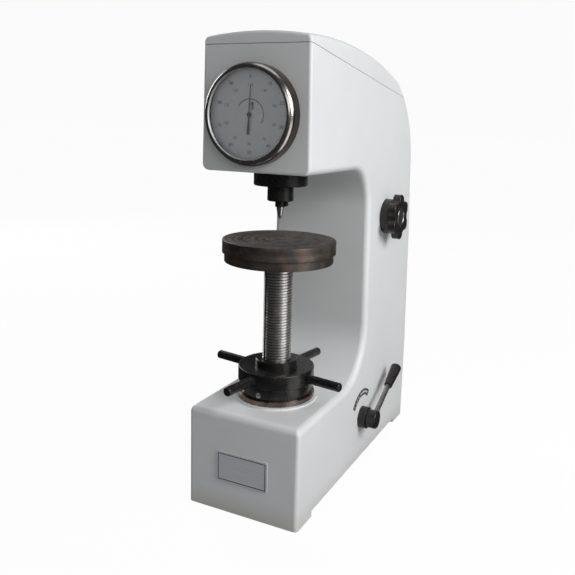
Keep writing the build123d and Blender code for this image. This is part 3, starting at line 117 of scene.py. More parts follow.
def distanceMask(tree, vector, start, end):
    # 0 at the start distance from the centre, 1 at the end distance
    outward = addNode(tree, "ShaderNodeVectorMath", operation="LENGTH")
    mask = addNode(tree, "ShaderNodeMapRange", {"From Min": start, "From Max": end})
    tree.links.new(vector, outward.inputs[0])
    tree.links.new(outward.outputs["Value"], mask.inputs["Value"])
    return mask.outputs["Result"]


def blendOver(tree, socket, share, colour):
    # lays a colour over what the socket already has
    mix = addNode(tree, "ShaderNodeMix", data_type="RGBA")
    below, above = [s for s in mix.inputs if s.type == "RGBA"]
    tree.links.new(share, mix.inputs["Factor"])
    tree.links.new(socket.links[0].from_socket, below)
    above.default_value = (*colour, 1)
    blended = [s for s in mix.outputs if s.type == "RGBA"][0]
    tree.links.new(blended, socket)


def addBump(tree, shader, height, strength, depth):
    previous = shader.inputs["Normal"].links[0].from_socket if shader.inputs["Normal"].links else None
    bump = addNode(tree, "ShaderNodeBump", {"Strength": strength, "Distance": depth})
    tree.links.new(height, bump.inputs["Height"])
    if previous:
        tree.links.new(previous, bump.inputs["Normal"])
    tree.links.new(bump.outputs["Normal"], shader.inputs["Normal"])


def dress(tree, shader, vector, piece):
    # tone, gloss, turned rings and fine relief, as a finish's dictionary gives them
    tree.links.new(patches(tree, vector, piece["tone"]), shader.inputs["Base Color"])
    tree.links.new(patches(tree, vector, piece["gloss"]), shader.inputs["Roughness"])
    if "rings" in piece:
        layer = piece["rings"]
        height = rings(tree, vector, layer["spacing"], layer["direction"])
        addBump(tree, shader, height, layer["strength"], layer["depth"])
    for layer in piece["relief"]:
        height = noise(tree, vector, layer["scale"], layer["detail"])
        addBump(tree, shader, height, layer["strength"], layer["depth"])


# ---- finishes
screwAxis = (0, -0.121, 0)
dialCentre = (0, -0.2, 0.5295)

enamelPiece = {
    "tone": {"scale": 7, "start": 0.35, "low": (0.765, 0.772, 0.778),
             "end": 0.68, "high": (0.81, 0.815, 0.82)},
    "gloss": {"scale": 60, "start": 0.3, "low": 0.40, "end": 0.7, "high": 0.50},
    # the casting's waviness, then orange peel
    "relief": ({"scale": 45, "detail": 2, "strength": 0.25, "depth": 0.15 * mm},
               {"scale": 700, "detail": 2, "strength": 0.2, "depth": 0.04 * mm}),
    "coat": 0.15, "coatRough": 0.2,
    "bottomDarkening": (0.55, 0.53, 0.48), "bottomDarkeningShare": 0.5, "bottomDarkeningHeight": 30 * mm,
}


def whiteEnamel(piece):
    coat = {"Coat_Weight": piece["coat"], "Coat_Roughness": piece["coatRough"]}
    mat, tree, shader = startMaterial("whiteEnamel", **coat)
    here = placeCoords(tree)
    dress(tree, shader, here, piece)
    # darker towards the bottom: over the lowest 30 mm the paint is blended towards a brownish grey
    height = addNode(tree, "ShaderNodeSeparateXYZ")
    bottomDarkening = addNode(tree, "ShaderNodeMapRange", {"From Min": 0.0, "From Max": piece["bottomDarkeningHeight"],
                                                 "To Min": piece["bottomDarkeningShare"], "To Max": 0.0})
    tree.links.new(here, height.inputs["Vector"])
    tree.links.new(height.outputs["Z"], bottomDarkening.inputs["Value"])
    blendOver(tree, shader.inputs["Base Color"], bottomDarkening.outputs["Result"], piece["bottomDarkening"])
    return mat


# a metal's patches lie between dark and light, and its gloss between the two values of rough
anyMetal = {"metallic": 1.0, "patchScale": 60, "patchDetail": 6, "patchStops": (0.34, 0.68),
            "glossFiner": 3, "glossStops": (0.3, 0.7), "grain": 0.02 * mm, "grainScale": 1800,
            "grainDetail": 3, "grainStrength": 0.3, "ringStrength": 0.35, "direction": "Z"}
metals = {
    "blackOxide": {"dark": (0.018, 0.017, 0.017), "light": (0.036, 0.034, 0.032), "rough": (0.22, 0.30),
                   "metallic": 0.5, "grain": 0.004 * mm, "centre": screwAxis, "spacing": 0.6 * mm},
    "ringSteel": {"dark": (0.11, 0.088, 0.078), "light": (0.27, 0.205, 0.18), "rough": (0.22, 0.34),
                  "centre": screwAxis, "spacing": 0.6 * mm},
    "threadSteel": {"dark": (0.60, 0.585, 0.575), "light": (0.80, 0.785, 0.775), "rough": (0.33, 0.40),
                    "patchScale": 90, "grain": 0.002 * mm},
    "groundSteel": {"dark": (0.42, 0.42, 0.42), "light": (0.64, 0.63, 0.62), "rough": (0.20, 0.32),
                    "patchScale": 130},
    "plainSteel": {"dark": (0.26, 0.25, 0.245), "light": (0.40, 0.39, 0.38), "rough": (0.24, 0.36),
                   "patchScale": 200},
    "bezelSteel": {"dark": (0.40, 0.375, 0.36), "light": (0.54, 0.515, 0.50), "rough": (0.20, 0.28),
                   "patchScale": 50, "grain": 0.006 * mm,
                   "centre": dialCentre, "spacing": 0.25 * mm, "direction": "Y"},
    "darkSteel": {"dark": (0.020, 0.019, 0.018), "light": (0.050, 0.048, 0.046), "rough": (0.30, 0.42),
                  "metallic": 0.6, "patchScale": 250},
    "springSteel": {"dark": (0.16, 0.165, 0.18), "light": (0.30, 0.31, 0.33), "rough": (0.32, 0.44),
                    "patchScale": 300},
    "movementBrass": {"dark": (0.50, 0.36, 0.16), "light": (0.72, 0.55, 0.28), "rough": (0.24, 0.36),
                      "patchScale": 120, "centre": dialCentre, "spacing": 0.4 * mm, "direction": "Y"},
}


def metal(name):
    # a machined or oxide finish, with turned rings where it has a centre
    piece = {**anyMetal, **metals[name]}
    mat, tree, shader = startMaterial(name, metallic=piece["metallic"])
    layers = {
        "tone": {"scale": piece["patchScale"], "detail": piece["patchDetail"],
                 "start": piece["patchStops"][0], "low": piece["dark"],
                 "end": piece["patchStops"][1], "high": piece["light"]},
        "gloss": {"scale": piece["patchScale"] * piece["glossFiner"],
                  "start": piece["glossStops"][0], "low": piece["rough"][0],
                  "end": piece["glossStops"][1], "high": piece["rough"][1]},
        "relief": ({"scale": piece["grainScale"], "detail": piece["grainDetail"],
                    "strength": piece["grainStrength"], "depth": piece["grain"]},),
    }
    if "centre" in piece:
        layers["rings"] = {"spacing": piece["spacing"], "direction": piece["direction"],
                           "strength": piece["ringStrength"], "depth": piece["grain"]}
    dress(tree, shader, placeCoords(tree, piece.get("centre", (0, 0, 0))), layers)
    return mat, tree, shader


# painted shade in the thread's roots: the crests keep the steel's tone, the roots are painted darker
groovePiece = {"shadeStartRadius": 19.7 * mm, "shadeFullRadius": 19.0 * mm, "rootShadeTone": (0.28, 0.26, 0.25)}


def grooveSteel(piece):
    # bright on the thread's crests, with painted shade darkening its roots
    mat, tree, shader = metal("threadSteel")
    flat = placeCoords(tree, screwAxis, (1, 1, 0))
    depth = distanceMask(tree, flat, piece["shadeStartRadius"], piece["shadeFullRadius"])
    blendOver(tree, shader.inputs["Base Color"], depth, piece["rootShadeTone"])
    return mat


# the side's dark brown tone is painted shade; the inner lip's near-white tone is a painted highlight
rimPiece = {"side": 61.2 * mm, "inner": 54.6 * mm, "edge": 1.2 * mm,
            "browned": (0.105, 0.090, 0.082), "paintedHighlightTone": (0.86, 0.87, 0.87), "satinRough": 0.5}


def rimSteel(piece):
    # the dial's rim: turned steel in front, painted shade on its side as a dark brown tone, and a satin
    # painted highlight on the inner lip as a near-white tone
    mat, tree, shader = metal("bezelSteel")
    flat = placeCoords(tree, dialCentre, (1, 0, 1))
    side = distanceMask(tree, flat, piece["side"], piece["side"] + piece["edge"])
    lip = distanceMask(tree, flat, piece["inner"] + piece["edge"], piece["inner"])
    # painted shade: the rim's side is painted dark brown
    blendOver(tree, shader.inputs["Base Color"], side, piece["browned"])
    # painted highlight: the inner lip is painted near-white
    blendOver(tree, shader.inputs["Base Color"], lip, piece["paintedHighlightTone"])
    blendOver(tree, shader.inputs["Roughness"], lip, (piece["satinRough"],) * 3)
    return mat


brownedPiece = {
    "metallic": 0.45,
    "tone": {"scale": 28, "detail": 8, "uneven": 0.6,
             "start": 0.36, "low": (0.030, 0.025, 0.022), "end": 0.62, "high": (0.090, 0.074, 0.066)},
    "gloss": {"scale": 110, "start": 0.3, "low": 0.34, "end": 0.7, "high": 0.60},
    "rings": {"spacing": 0.9 * mm, "direction": "Z", "strength": 0.5, "depth": 0.05 * mm},
    "relief": ({"scale": 900, "detail": 4, "strength": 0.4, "depth": 0.04 * mm},),
    "bloom": {"scale": 42, "detail": 6, "uneven": 0.7,
              "start": 0.50, "low": 0.0, "end": 0.68, "high": 0.62},
    "bloomTone": (0.19, 0.120, 0.090),
    "bandSpacing": 27 * mm, "bandStops": (0.45, 0.80), "bandShare": 0.55,
    "bandTone": (0.115, 0.114, 0.113),
}


def brownedSteel(piece):
    # an old blued table, with brown bloom, worn grey bands and turned rings
    mat, tree, shader = startMaterial("brownedSteel", metallic=piece["metallic"])
    here = placeCoords(tree, screwAxis)
    dress(tree, shader, here, piece)
    start, end = piece["bandStops"]
    bands = ramp(tree, rings(tree, here, piece["bandSpacing"]), (start, 0.0), (end, piece["bandShare"]))
    blendOver(tree, shader.inputs["Base Color"], patches(tree, here, piece["bloom"]), piece["bloomTone"])
    blendOver(tree, shader.inputs["Base Color"], bands, piece["bandTone"])
    return mat


plasticPiece = {"lighter": 1.7,
                "relief": ({"scale": 1500, "detail": 2, "strength": 0.25, "depth": 0.03 * mm},)}


def mouldedPlastic(name, tone, rough):
    mat, tree, shader = startMaterial(name)
    light = tuple(t * plasticPiece["lighter"] for t in tone)
    layers = {"tone": {"scale": 90, "start": 0.35, "low": tone, "end": 0.75, "high": light},
              "gloss": {"scale": 240, "start": 0.3, "low": rough[0], "end": 0.7, "high": rough[1]},
              "relief": plasticPiece["relief"]}
    dress(tree, shader, placeCoords(tree), layers)
    return mat


cardPiece = {"gloss": {"scale": 500, "start": 0.3, "low": 0.5, "end": 0.7, "high": 0.65},
             "relief": ({"scale": 2500, "detail": 2, "strength": 0.15, "depth": 0.01 * mm},)}


def card(name, tone, shade):
    # matt enamel of the dial, or print on it
    mat, tree, shader = startMaterial(name)
    cloud = {"scale": 300, "detail": 6, "start": 0.3, "low": shade, "end": 0.7, "high": tone}
    dress(tree, shader, placeCoords(tree), {**cardPiece, "tone": cloud})
    return mat


ironPiece = {
    "metallic": 0.65,
    "tone": {"scale": 120, "detail": 8, "start": 0.35, "low": (0.075, 0.076, 0.08), "end": 0.7,
             "high": (0.17, 0.17, 0.175)},
    "gloss": {"scale": 300, "start": 0.3, "low": 0.5, "end": 0.7, "high": 0.7},
    "relief": ({"scale": 700, "detail": 6, "strength": 0.5, "depth": 0.12 * mm},),
}


def castIron(piece):
    mat, tree, shader = startMaterial("greyIron", metallic=piece["metallic"])
    dress(tree, shader, placeCoords(tree), piece)
    return mat


# stretch is large across the strokes and small along them
plates = {
    "plateMetal": {"dark": (0.62, 0.63, 0.66), "light": (0.76, 0.77, 0.80), "rough": (0.4, 0.5),
                   "metallic": 0.15, "stretch": (30, 2200, 2200)},
    "discMetal": {"dark": (0.10, 0.10, 0.105), "light": (0.24, 0.24, 0.25), "rough": (0.28, 0.42),
                  "metallic": 0.9, "stretch": (900, 2200, 40)},
}
strokePiece = {"detail": 5, "uneven": 0.6, "stops": (0.3, 0.7), "strength": 0.3, "depth": 0.02 * mm}


def brushedPlate(name):
    piece = plates[name]
    mat, tree, shader = startMaterial(name, metallic=piece["metallic"])
    here = placeCoords(tree, stretch=piece["stretch"])
    strokes = noise(tree, here, 1.0, strokePiece["detail"], strokePiece["uneven"])
    start, end = strokePiece["stops"]
    tones = ramp(tree, strokes, (start, piece["dark"]), (end, piece["light"]))
    gloss = ramp(tree, strokes, (start, piece["rough"][0]), (end, piece["rough"][1]))
    tree.links.new(tones, shader.inputs["Base Color"])
    tree.links.new(gloss, shader.inputs["Roughness"])
    addBump(tree, shader, strokes, strokePiece["strength"], strokePiece["depth"])
    return mat


glassPiece = {"ior": 1.46, "tint": (0.97, 0.985, 0.98, 1),
              "smear": {"scale": 40, "start": 0.4, "low": 0.0, "end": 0.8, "high": 0.03}}


def clearGlass(piece):
    clear = {"Transmission_Weight": 1.0, "IOR": piece["ior"], "Base_Color": piece["tint"]}
    mat, tree, shader = startMaterial("clearGlass", **clear)
    tree.links.new(patches(tree, placeCoords(tree), piece["smear"]), shader.inputs["Roughness"])
    return mat


enamel = whiteEnamel(enamelPiece)
browned = brownedSteel(brownedPiece)
oxide = metal("blackOxide")[0]
ringSteel = metal("ringSteel")[0]
threadSteel = grooveSteel(groovePiece)
ground = metal("groundSteel")[0]
rodSteel = metal("plainSteel")[0]
bezelSteel = rimSteel(rimPiece)
darkSteel = metal("darkSteel")[0]
springSteel = metal("springSteel")[0]
brass = metal("movementBrass")[0]
iron = castIron(ironPiece)
blackPlastic = mouldedPlastic("blackPlastic", (0.012, 0.010, 0.009), (0.26, 0.38))
caseEnamel = mouldedPlastic("caseEnamel", (0.022, 0.022, 0.023), (0.3, 0.4))
# the dial's white face is painted grey: painted shade of the bezel and glass
dialCard = card("dialCard", (0.29, 0.288, 0.305), (0.258, 0.255, 0.271))
dialInk = card("dialInk", (0.055, 0.055, 0.06), (0.03, 0.03, 0.034))
innerInk = card("innerInk", (0.12, 0.11, 0.11), (0.08, 0.075, 0.075))
pointerPaint = card("pointerPaint", (0.020, 0.020, 0.020), (0.010, 0.010, 0.010))
plateMetal = brushedPlate("plateMetal")
discMetal = brushedPlate("discMetal")
labelGrey = card("labelGrey", (0.105, 0.10, 0.10), (0.07, 0.068, 0.068))
labelPale = card("labelPale", (0.66, 0.66, 0.65), (0.55, 0.55, 0.54))
glass = clearGlass(glassPiece)
print("finishes ready")

finishes = {
    enamel: ["body_casting", "top_cover", "rear_cover"],
    plateMetal: ["name_plate"],
    browned: ["anvil"],
    ringSteel: ["seat_ring"],
    oxide: ["guide_sleeve", "handwheel_hub", "handwheel_rods", "spindle_bush", "spindle", "spindle_nut"],
    threadSteel: ["elevating_screw"],
    ground: ["indenter", "key_screw", "handle_shaft", "selector_shaft", "selector_cams", "thrust_bearing",
             "lever_knife_edges", "dashpot_piston", "dial_plunger", "fork_pivot_pin", "locating_pins",
             "rear_cover_screws"],
    rodSteel: ["handle_rod", "hanger_rod"],
    darkSteel: ["pointer_arbor", "clamp_screw"],
    bezelSteel: ["dial_bezel"],
    springSteel: ["preload_spring"],
    brass: ["movement_plate", "measuring_arm"],
    iron: ["fulcrum_bracket", "main_lever", "hanger_stirrup", "weight_pan", "base_weight", "middle_weight",
           "top_weight", "weight_carrier", "lifting_cam", "lifting_fork", "dashpot_bracket",
           "dashpot_cylinder", "dashpot_lid"],
    blackPlastic: ["selector_base", "selector_knob", "handle_bush", "handle_hub", "handle_grip"],
    caseEnamel: ["dial_case"],
    dialCard: ["dial_face", "counter_face"],
    pointerPaint: ["long_pointer", "short_pointer"],
    discMetal: ["knob_disc"],
    glass: ["dial_glass"],
}
for finish, names in finishes.items():
    for name in names:
        nodes[name].data.materials.clear()
        nodes[name].data.materials.append(finish)
print("nodes dressed:", sum(len(names) for names in finishes.values()), "of", len(nodes))


# ---- helpers for shapes
def finishPiece(name, bm, mat, body, replaced=(), sharpAngle=32):
    bmesh.ops.recalc_face_normals(bm, faces=bm.faces)
    mesh = bpy.data.meshes.new(name)
    bm.to_mesh(mesh)
    bm.free()
    mesh.materials.append(mat)
    mesh.shade_smooth()
    mesh.set_sharp_from_angle(angle=math.radians(sharpAngle))
    piece = bpy.data.objects.new(name, mesh)
    bpy.context.scene.collection.objects.link(piece)
    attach(piece, body)
    if replaced:
        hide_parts(*replaced)


def turned(bm, profile, centre, steps):
    # a closed solid of revolution about a vertical axis; profile runs from the axis round to the axis
    columns = []
    for step in range(steps):
        angle = math.tau * step / steps
        columns.append([
            bm.verts.new((centre[0] + r * math.cos(angle), centre[1] + r * math.sin(angle), z))
            for r, z in profile[1:-1]
        ])
    lowPole = bm.verts.new((centre[0], centre[1], profile[0][1]))
    highPole = bm.verts.new((centre[0], centre[1], profile[-1][1]))
    for here, there in zip(columns, columns[1:] + columns[:1]):
        bm.faces.new((lowPole, there[0], here[0]))
        for a, b, c, d in zip(here, there, there[1:], here[1:]):
            bm.faces.new((a, b, c, d))
        bm.faces.new((here[-1], there[-1], highPole))


def printed(bm, outline, toWorld, thickness):
    # a thin raised mark with this flat outline
    low = [bm.verts.new(toWorld(u, v, 0)) for u, v in outline]
    high = [bm.verts.new(toWorld(u, v, thickness)) for u, v in outline]
    bm.faces.new(low)
    bm.faces.new(list(reversed(high)))
    for i in range(len(outline)):
        j = (i + 1) % len(outline)
        bm.faces.new((low[i], high[i], high[j], low[j]))


def polar(radius, degreesFromTop):
    # clockwise from the top, as a dial is read
    angle = math.radians(degreesFromTop)
    return (radius * math.sin(angle), radius * math.cos(angle))


def radialMark(bm, inner, outer, angle, width, toWorld, thickness):
    along = Vector(polar(1, angle))
    across = Vector((along.y, -along.x)) * width / 2
    near, far = along * inner, along * outer
    corners = [near - across, far - across, far + across, near + across]
    printed(bm, [tuple(c) for c in corners], toWorld, thickness)


def arcMark(bm, inner, outer, start, end, toWorld, thickness, stepAngle=3.0):
    count = max(2, round((end - start) / stepAngle))
    angles = [start + (end - start) * i / count for i in range(count + 1)]
    for a, b in zip(angles, angles[1:]):
        corners = [polar(inner, a), polar(outer, a), polar(outer, b), polar(inner, b)]
        printed(bm, corners, toWorld, thickness)
    bmesh.ops.remove_doubles(bm, verts=bm.verts, dist=1e-7)


def writeText(bm, text, size, centre, toMatrix, thickness, swell):
    curve = bpy.data.curves.new("lettering", "FONT")
    curve.body = text
    curve.size = size
    curve.align_x = "CENTER"
    curve.align_y = "CENTER"
    curve.extrude = thickness / 2
    curve.offset = swell
    curve.resolution_u = 3
    holder = bpy.data.objects.new("lettering", curve)
    bpy.context.scene.collection.objects.link(holder)
    bpy.context.view_layer.update()
    mesh = bpy.data.meshes.new_from_object(holder.evaluated_get(bpy.context.evaluated_depsgraph_get()))
    mesh.transform(toMatrix @ Matrix.Translation((centre[0], centre[1], thickness / 2)))
    bm.from_mesh(mesh)
    bpy.data.objects.remove(holder)
    bpy.data.curves.remove(curve)
    bpy.data.meshes.remove(mesh)


# ---- elevating screw, with its thread and keyway
screwPiece = {"pitch": 4.0 * mm, "root": 1.2 * mm, "crestShare": 0.56, "rootShare": 0.16,
              "rings": 14, "sides": 60,
              "keyAngle": 236.0, "keyWidth": 6.0 * mm, "keyDepth": 3.0 * mm,
              "keyWall": 0.05, "keyClear": 1.0,       # degrees
              "plainTop": 4.0 * mm, "plainEnd": 3.0 * mm, "endChamfer": 1.2 * mm}


def threadRadius(place, crest, root, piece):
    # place runs from 0 to 1 over one pitch: crest, flank down, root, flank up
    flank = (1 - piece["crestShare"] - piece["rootShare"]) / 2
    if place < piece["crestShare"]:
        return crest
    if place < piece["crestShare"] + flank:
        return crest - (crest - root) * (place - piece["crestShare"]) / flank
    if place < 1 - flank:
        return root
    return root + (crest - root) * (place - 1 + flank) / flank


def keyedAngles(crest, piece):
    # even angles, with closer ones at the keyway's two walls
    middle, wall, clear = piece["keyAngle"], piece["keyWall"], piece["keyClear"]
    halfKey = math.degrees(math.asin(piece["keyWidth"] / 2 / crest))
    low, high = middle - halfKey, middle + halfKey
    even = [360 * i / piece["sides"] for i in range(piece["sides"])]
    kept = [a for a in even if not low - clear < a < high + clear]
    return low, high, sorted(kept + [low - wall, low, middle, high, high + wall])


def makeScrew(piece):
    low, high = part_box("elevating_screw")
    crest = (high.x - low.x) / 2
    root = crest - piece["root"]
    floor = crest - piece["keyDepth"]
    endRadius = root - piece["endChamfer"]
    keyLow, keyHigh, angles = keyedAngles(crest, piece)
    step = piece["pitch"] / piece["rings"]
    count = round((high.z - low.z) / step)
    bm = bmesh.new()
    rows = []
    for i in range(count + 1):
        z = low.z + (high.z - low.z) * i / count
        endTaper = min(1, (z - low.z) / piece["plainEnd"])
        row = []
        for angle in angles:
            radius = threadRadius((z / piece["pitch"] - angle / 360) % 1, crest, root, piece)
            if high.z - z < piece["plainTop"]:
                radius = root
            radius = min(radius, endRadius + (crest - endRadius) * endTaper)
            if keyLow <= angle <= keyHigh:
                radius = min(radius, floor)
            turn = math.radians(angle)
            row.append(bm.verts.new((radius * math.cos(turn), screwAxis[1] + radius * math.sin(turn), z)))
        rows.append(row)
    for here, there in zip(rows, rows[1:]):
        for a in range(len(angles)):
            b = (a + 1) % len(angles)
            bm.faces.new((here[a], here[b], there[b], there[a]))
    bm.faces.new(list(reversed(rows[0])))
    bm.faces.new(rows[-1])
    finishPiece("threadedScrew", bm, threadSteel, "screw", ["elevating_screw"])


makeScrew(screwPiece)
print("screw cut")

# ---- round table, turned
tablePiece = {"lip": 18.0 * mm, "lower": 75.0 * mm, "stem": 12.5 * mm, "edge": 0.8 * mm, "sides": 160,
              "grooves": (12, 20, 29, 39, 50, 61, 71), "grooveDepth": 0.12 * mm, "grooveWidth": 0.45 * mm,
              "bandShares": (0.34, 0.36, 0.64, 0.66), "bandDepth": 0.12 * mm,
              "cornerShare": 0.3, "lipShare": 0.5, "stepUp": 0.4, "stepOut": 0.2, "sharpAngle": 25}


def makeTable(piece):
    low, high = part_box("anvil")
    top = high.z
    radius = (high.x - low.x) / 2
    lip = top - piece["lip"]
    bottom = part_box("elevating_screw")[1].z
    stem, lower, edge = piece["stem"], piece["lower"], piece["edge"]
    corner, lipEdge = edge * piece["cornerShare"], edge * piece["lipShare"]
    profile = [(0, low.z), (stem - edge, low.z), (stem, low.z + edge), (stem, bottom),
               (lower - edge, bottom), (lower - corner, bottom + corner), (lower, bottom + edge),
               (lower, lip - edge * piece["stepUp"]), (lower + edge * piece["stepOut"], lip),
               (radius - lipEdge, lip), (radius, lip + lipEdge)]
    for share, dip in zip(piece["bandShares"], (0, piece["bandDepth"], piece["bandDepth"], 0)):
        profile.append((radius - dip, lip + (top - lip) * share))
    profile += [(radius, top - edge), (radius - corner, top - corner), (radius - edge, top)]
    width, depth = piece["grooveWidth"], piece["grooveDepth"]
    for groove in reversed(piece["grooves"]):
        r = groove * mm
        profile += [(r + width, top), (r, top - depth), (r - width, top)]
    profile.append((0, top))
    bm = bmesh.new()
    turned(bm, profile, screwAxis, piece["sides"])
    finishPiece("turnedTable", bm, browned, "screw", ["anvil"], piece["sharpAngle"])


makeTable(tablePiece)
print("table turned")

# ---- dial: divisions and numbers turn with the bezel
dialPiece = {"outer": 54.0 * mm, "short": 2.2 * mm, "middle": 3.4 * mm, "long": 4.4 * mm,
             "fine": 0.22 * mm, "bold": 0.42 * mm, "divisions": 100,
             "outerNumbers": 45.6 * mm, "innerNumbers": 35.4 * mm,
             "textSize": 6.0 * mm, "innerText": 5.2 * mm, "swell": 0.10 * mm, "ink": 0.06 * mm}
outerScale = [str(number) for number in range(0, 100, 10)]
innerScale = ["130"] + [str(number) for number in range(40, 130, 10)]
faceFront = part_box("dial_face")[0].y
dialMatrix = Matrix.Translation((0, faceFront, dialCentre[2])) @ Matrix.Rotation(math.radians(90), 4, "X")


def onDial(u, v, h):
    return Vector((u, faceFront - h, dialCentre[2] + v))


def writeScale(name, texts, size, radius, mat, piece):
    bm = bmesh.new()
    for i, text in enumerate(texts):
        centre = polar(radius, 360 * i / len(texts))
        writeText(bm, text, size, centre, dialMatrix, piece["ink"], piece["swell"])
    finishPiece(name, bm, mat, "bezel")


def makeDial(piece):
    ticks = bmesh.new()
    for i in range(piece["divisions"]):
        length = piece["long"] if i % 10 == 0 else piece["middle"] if i % 5 == 0 else piece["short"]
        width = piece["bold"] if i % 10 == 0 else piece["fine"]
        angle = 360 * i / piece["divisions"]
        radialMark(ticks, piece["outer"] - length, piece["outer"], angle, width, onDial, piece["ink"])
    finishPiece("dialDivisions", ticks, dialInk, "bezel")
    writeScale("dialNumbers", outerScale, piece["textSize"], piece["outerNumbers"], dialInk, piece)
    writeScale("dialInnerNumbers", innerScale, piece["innerText"], piece["innerNumbers"], innerInk, piece)


makeDial(dialPiece)

counterPiece = {"arcInner": 18.3 * mm, "arcOuter": 19.4 * mm, "start": -58.0, "end": 118.0,
                "headTurn": 6.0, "headOverlap": 1.0, "headSides": (-0.8 * mm, 1.2 * mm),
                "tipInset": 0.2 * mm, "ink": 0.06 * mm}
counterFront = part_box("counter_face")[0].y


def onCounter(u, v, h):
    return Vector((u, counterFront - h, dialCentre[2] + v))


def makeTurnArrow(piece):
    # the arc with an arrow head that shows which way the pointer turns
    bm = bmesh.new()
    inner, outer, end = piece["arcInner"], piece["arcOuter"], piece["end"]
    arcMark(bm, inner, outer, piece["start"], end, onCounter, piece["ink"])
    tip = polar(outer - piece["tipInset"], end + piece["headTurn"])
    back = [polar(inner + side, end - piece["headOverlap"]) for side in piece["headSides"]]
    printed(bm, [tip, *back], onCounter, piece["ink"])
    finishPiece("turnArrow", bm, dialInk, "stand")


makeTurnArrow(counterPiece)
print("dial printed")

# ---- arc label behind the loading handle: dots at its low end, then a plain line
labelPiece = {"inner": 34.0 * mm, "outer": 44.0 * mm, "start": -56.0, "end": 42.0, "film": 0.25 * mm,
              "ink": 0.08 * mm, "dots": range(-49, -13, 9), "dotWidth": 2.2 * mm, "dotHalf": 1.5 * mm,
              "lineStart": -12, "lineEnd": 35.0, "lineHalf": 1.1 * mm}


def makeLabel(piece):
    low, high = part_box("handle_bush")
    centre = ((low.y + high.y) / 2, (low.z + high.z) / 2)
    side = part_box("body_casting")[1].x

    def onSide(lift):
        return lambda u, v, h: Vector((side + lift + h, centre[0] + u, centre[1] + v))

    band = bmesh.new()
    arcMark(band, piece["inner"], piece["outer"], piece["start"], piece["end"], onSide(0), piece["film"])
    finishPiece("arcLabel", band, labelGrey, "stand")
    marks = bmesh.new()
    onBand = onSide(piece["film"])
    middle = (piece["inner"] + piece["outer"]) / 2
    dotHalf, lineHalf = piece["dotHalf"], piece["lineHalf"]
    dotWidth, ink = piece["dotWidth"], piece["ink"]
    for angle in piece["dots"]:
        radialMark(marks, middle - dotHalf, middle + dotHalf, angle, dotWidth, onBand, ink)
    start, end = piece["lineStart"], piece["lineEnd"]
    arcMark(marks, middle - lineHalf, middle + lineHalf, start, end, onBand, ink)
    finishPiece("arcLabelMarks", marks, labelPale, "stand")


makeLabel(labelPiece)
print("label laid")

# ---- border line printed on the bare name plate
plateBorder = {"recess": 0.5 * mm, "inset": 3.2 * mm, "line": 1.2 * mm, "film": 0.08 * mm}


def makePlateBorder(piece):
    low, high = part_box("name_plate")
    halfWidth = (high.x - low.x) / 2 - piece["inset"]
    halfHeight = (high.z - low.z) / 2 - piece["inset"]
    middle = (low.z + high.z) / 2
    floor = low.y + piece["recess"]
    half = piece["line"] / 2

    def onPlate(u, v, h):
        return Vector((u, floor - h, middle + v))

    bm = bmesh.new()
    for sign in (-1, 1):
        x, z = sign * halfWidth, sign * halfHeight
        upright = (x - half, x + half, -halfHeight - half, halfHeight + half)
        level = (half - halfWidth, halfWidth - half, z - half, z + half)
        for left, right, bottom, top in (upright, level):
            corners = [(left, bottom), (right, bottom), (right, top), (left, top)]
            printed(bm, corners, onPlate, piece["film"])
    finishPiece("plateBorder", bm, dialInk, "stand")


makePlateBorder(plateBorder)
print("plate bordered")

# ---- locking screw in the flange under the hub
flangeScrewPiece = {"angle": 270.5, "radius": 3.8 * mm, "proud": 0.5 * mm, "sunk": 1.0 * mm,
                    "slot": 0.5 * mm, "steps": 12}


def makeFlangeScrew(piece):
    low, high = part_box("guide_sleeve")
    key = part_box("key_screw")
    turn = math.radians(piece["angle"])
    outward = Vector((math.cos(turn), math.sin(turn), 0))
    across = Vector((-outward.y, outward.x, 0))
    axis = Vector((*screwAxis[:2], (key[0].z + key[1].z) / 2))
    seat = axis + outward * ((high.x - low.x) / 2 - piece["sunk"])

    def onFlange(u, v, h):
        return seat + across * u + Vector((0, 0, v)) + outward * h

    bm = bmesh.new()
    slotAngle = math.asin(piece["slot"] / piece["radius"])
    span = math.pi - 2 * slotAngle
    for start in (slotAngle, slotAngle + math.pi):
        angles = [start + span * i / piece["steps"] for i in range(piece["steps"] + 1)]
        outline = [(piece["radius"] * math.cos(a), piece["radius"] * math.sin(a)) for a in angles]
        printed(bm, outline, onFlange, piece["sunk"] + piece["proud"])
    finishPiece("flangeScrew", bm, ground, "stand")


makeFlangeScrew(flangeScrewPiece)

# ---- raised ring on the knob's disc
knobRingPiece = {"radius": 14.2 * mm, "width": 1.3 * mm, "height": 0.8 * mm, "sides": 64, "steps": 8}


def makeKnobRing(piece):
    low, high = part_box("knob_disc")
    centre = ((low.y + high.y) / 2, (low.z + high.z) / 2)
    bm = bmesh.new()
    loops = []
    for side in range(piece["sides"]):
        turn = math.tau * side / piece["sides"]
        loop = []
        for step in range(piece["steps"] + 1):
            arc = math.pi * step / piece["steps"]
            r = piece["radius"] + piece["width"] * math.cos(arc)
            lift = piece["height"] * math.sin(arc)
            y, z = centre[0] + r * math.cos(turn), centre[1] + r * math.sin(turn)
            loop.append(bm.verts.new((high.x + lift, y, z)))
        loops.append(loop)
    for here, there in zip(loops, loops[1:] + loops[:1]):
        for a, b, c, d in zip(here, there, there[1:] + there[:1], here[1:] + here[:1]):
            bm.faces.new((a, b, c, d))
    finishPiece("knobRing", bm, ground, "selector")


makeKnobRing(knobRingPiece)
print("small fittings made")

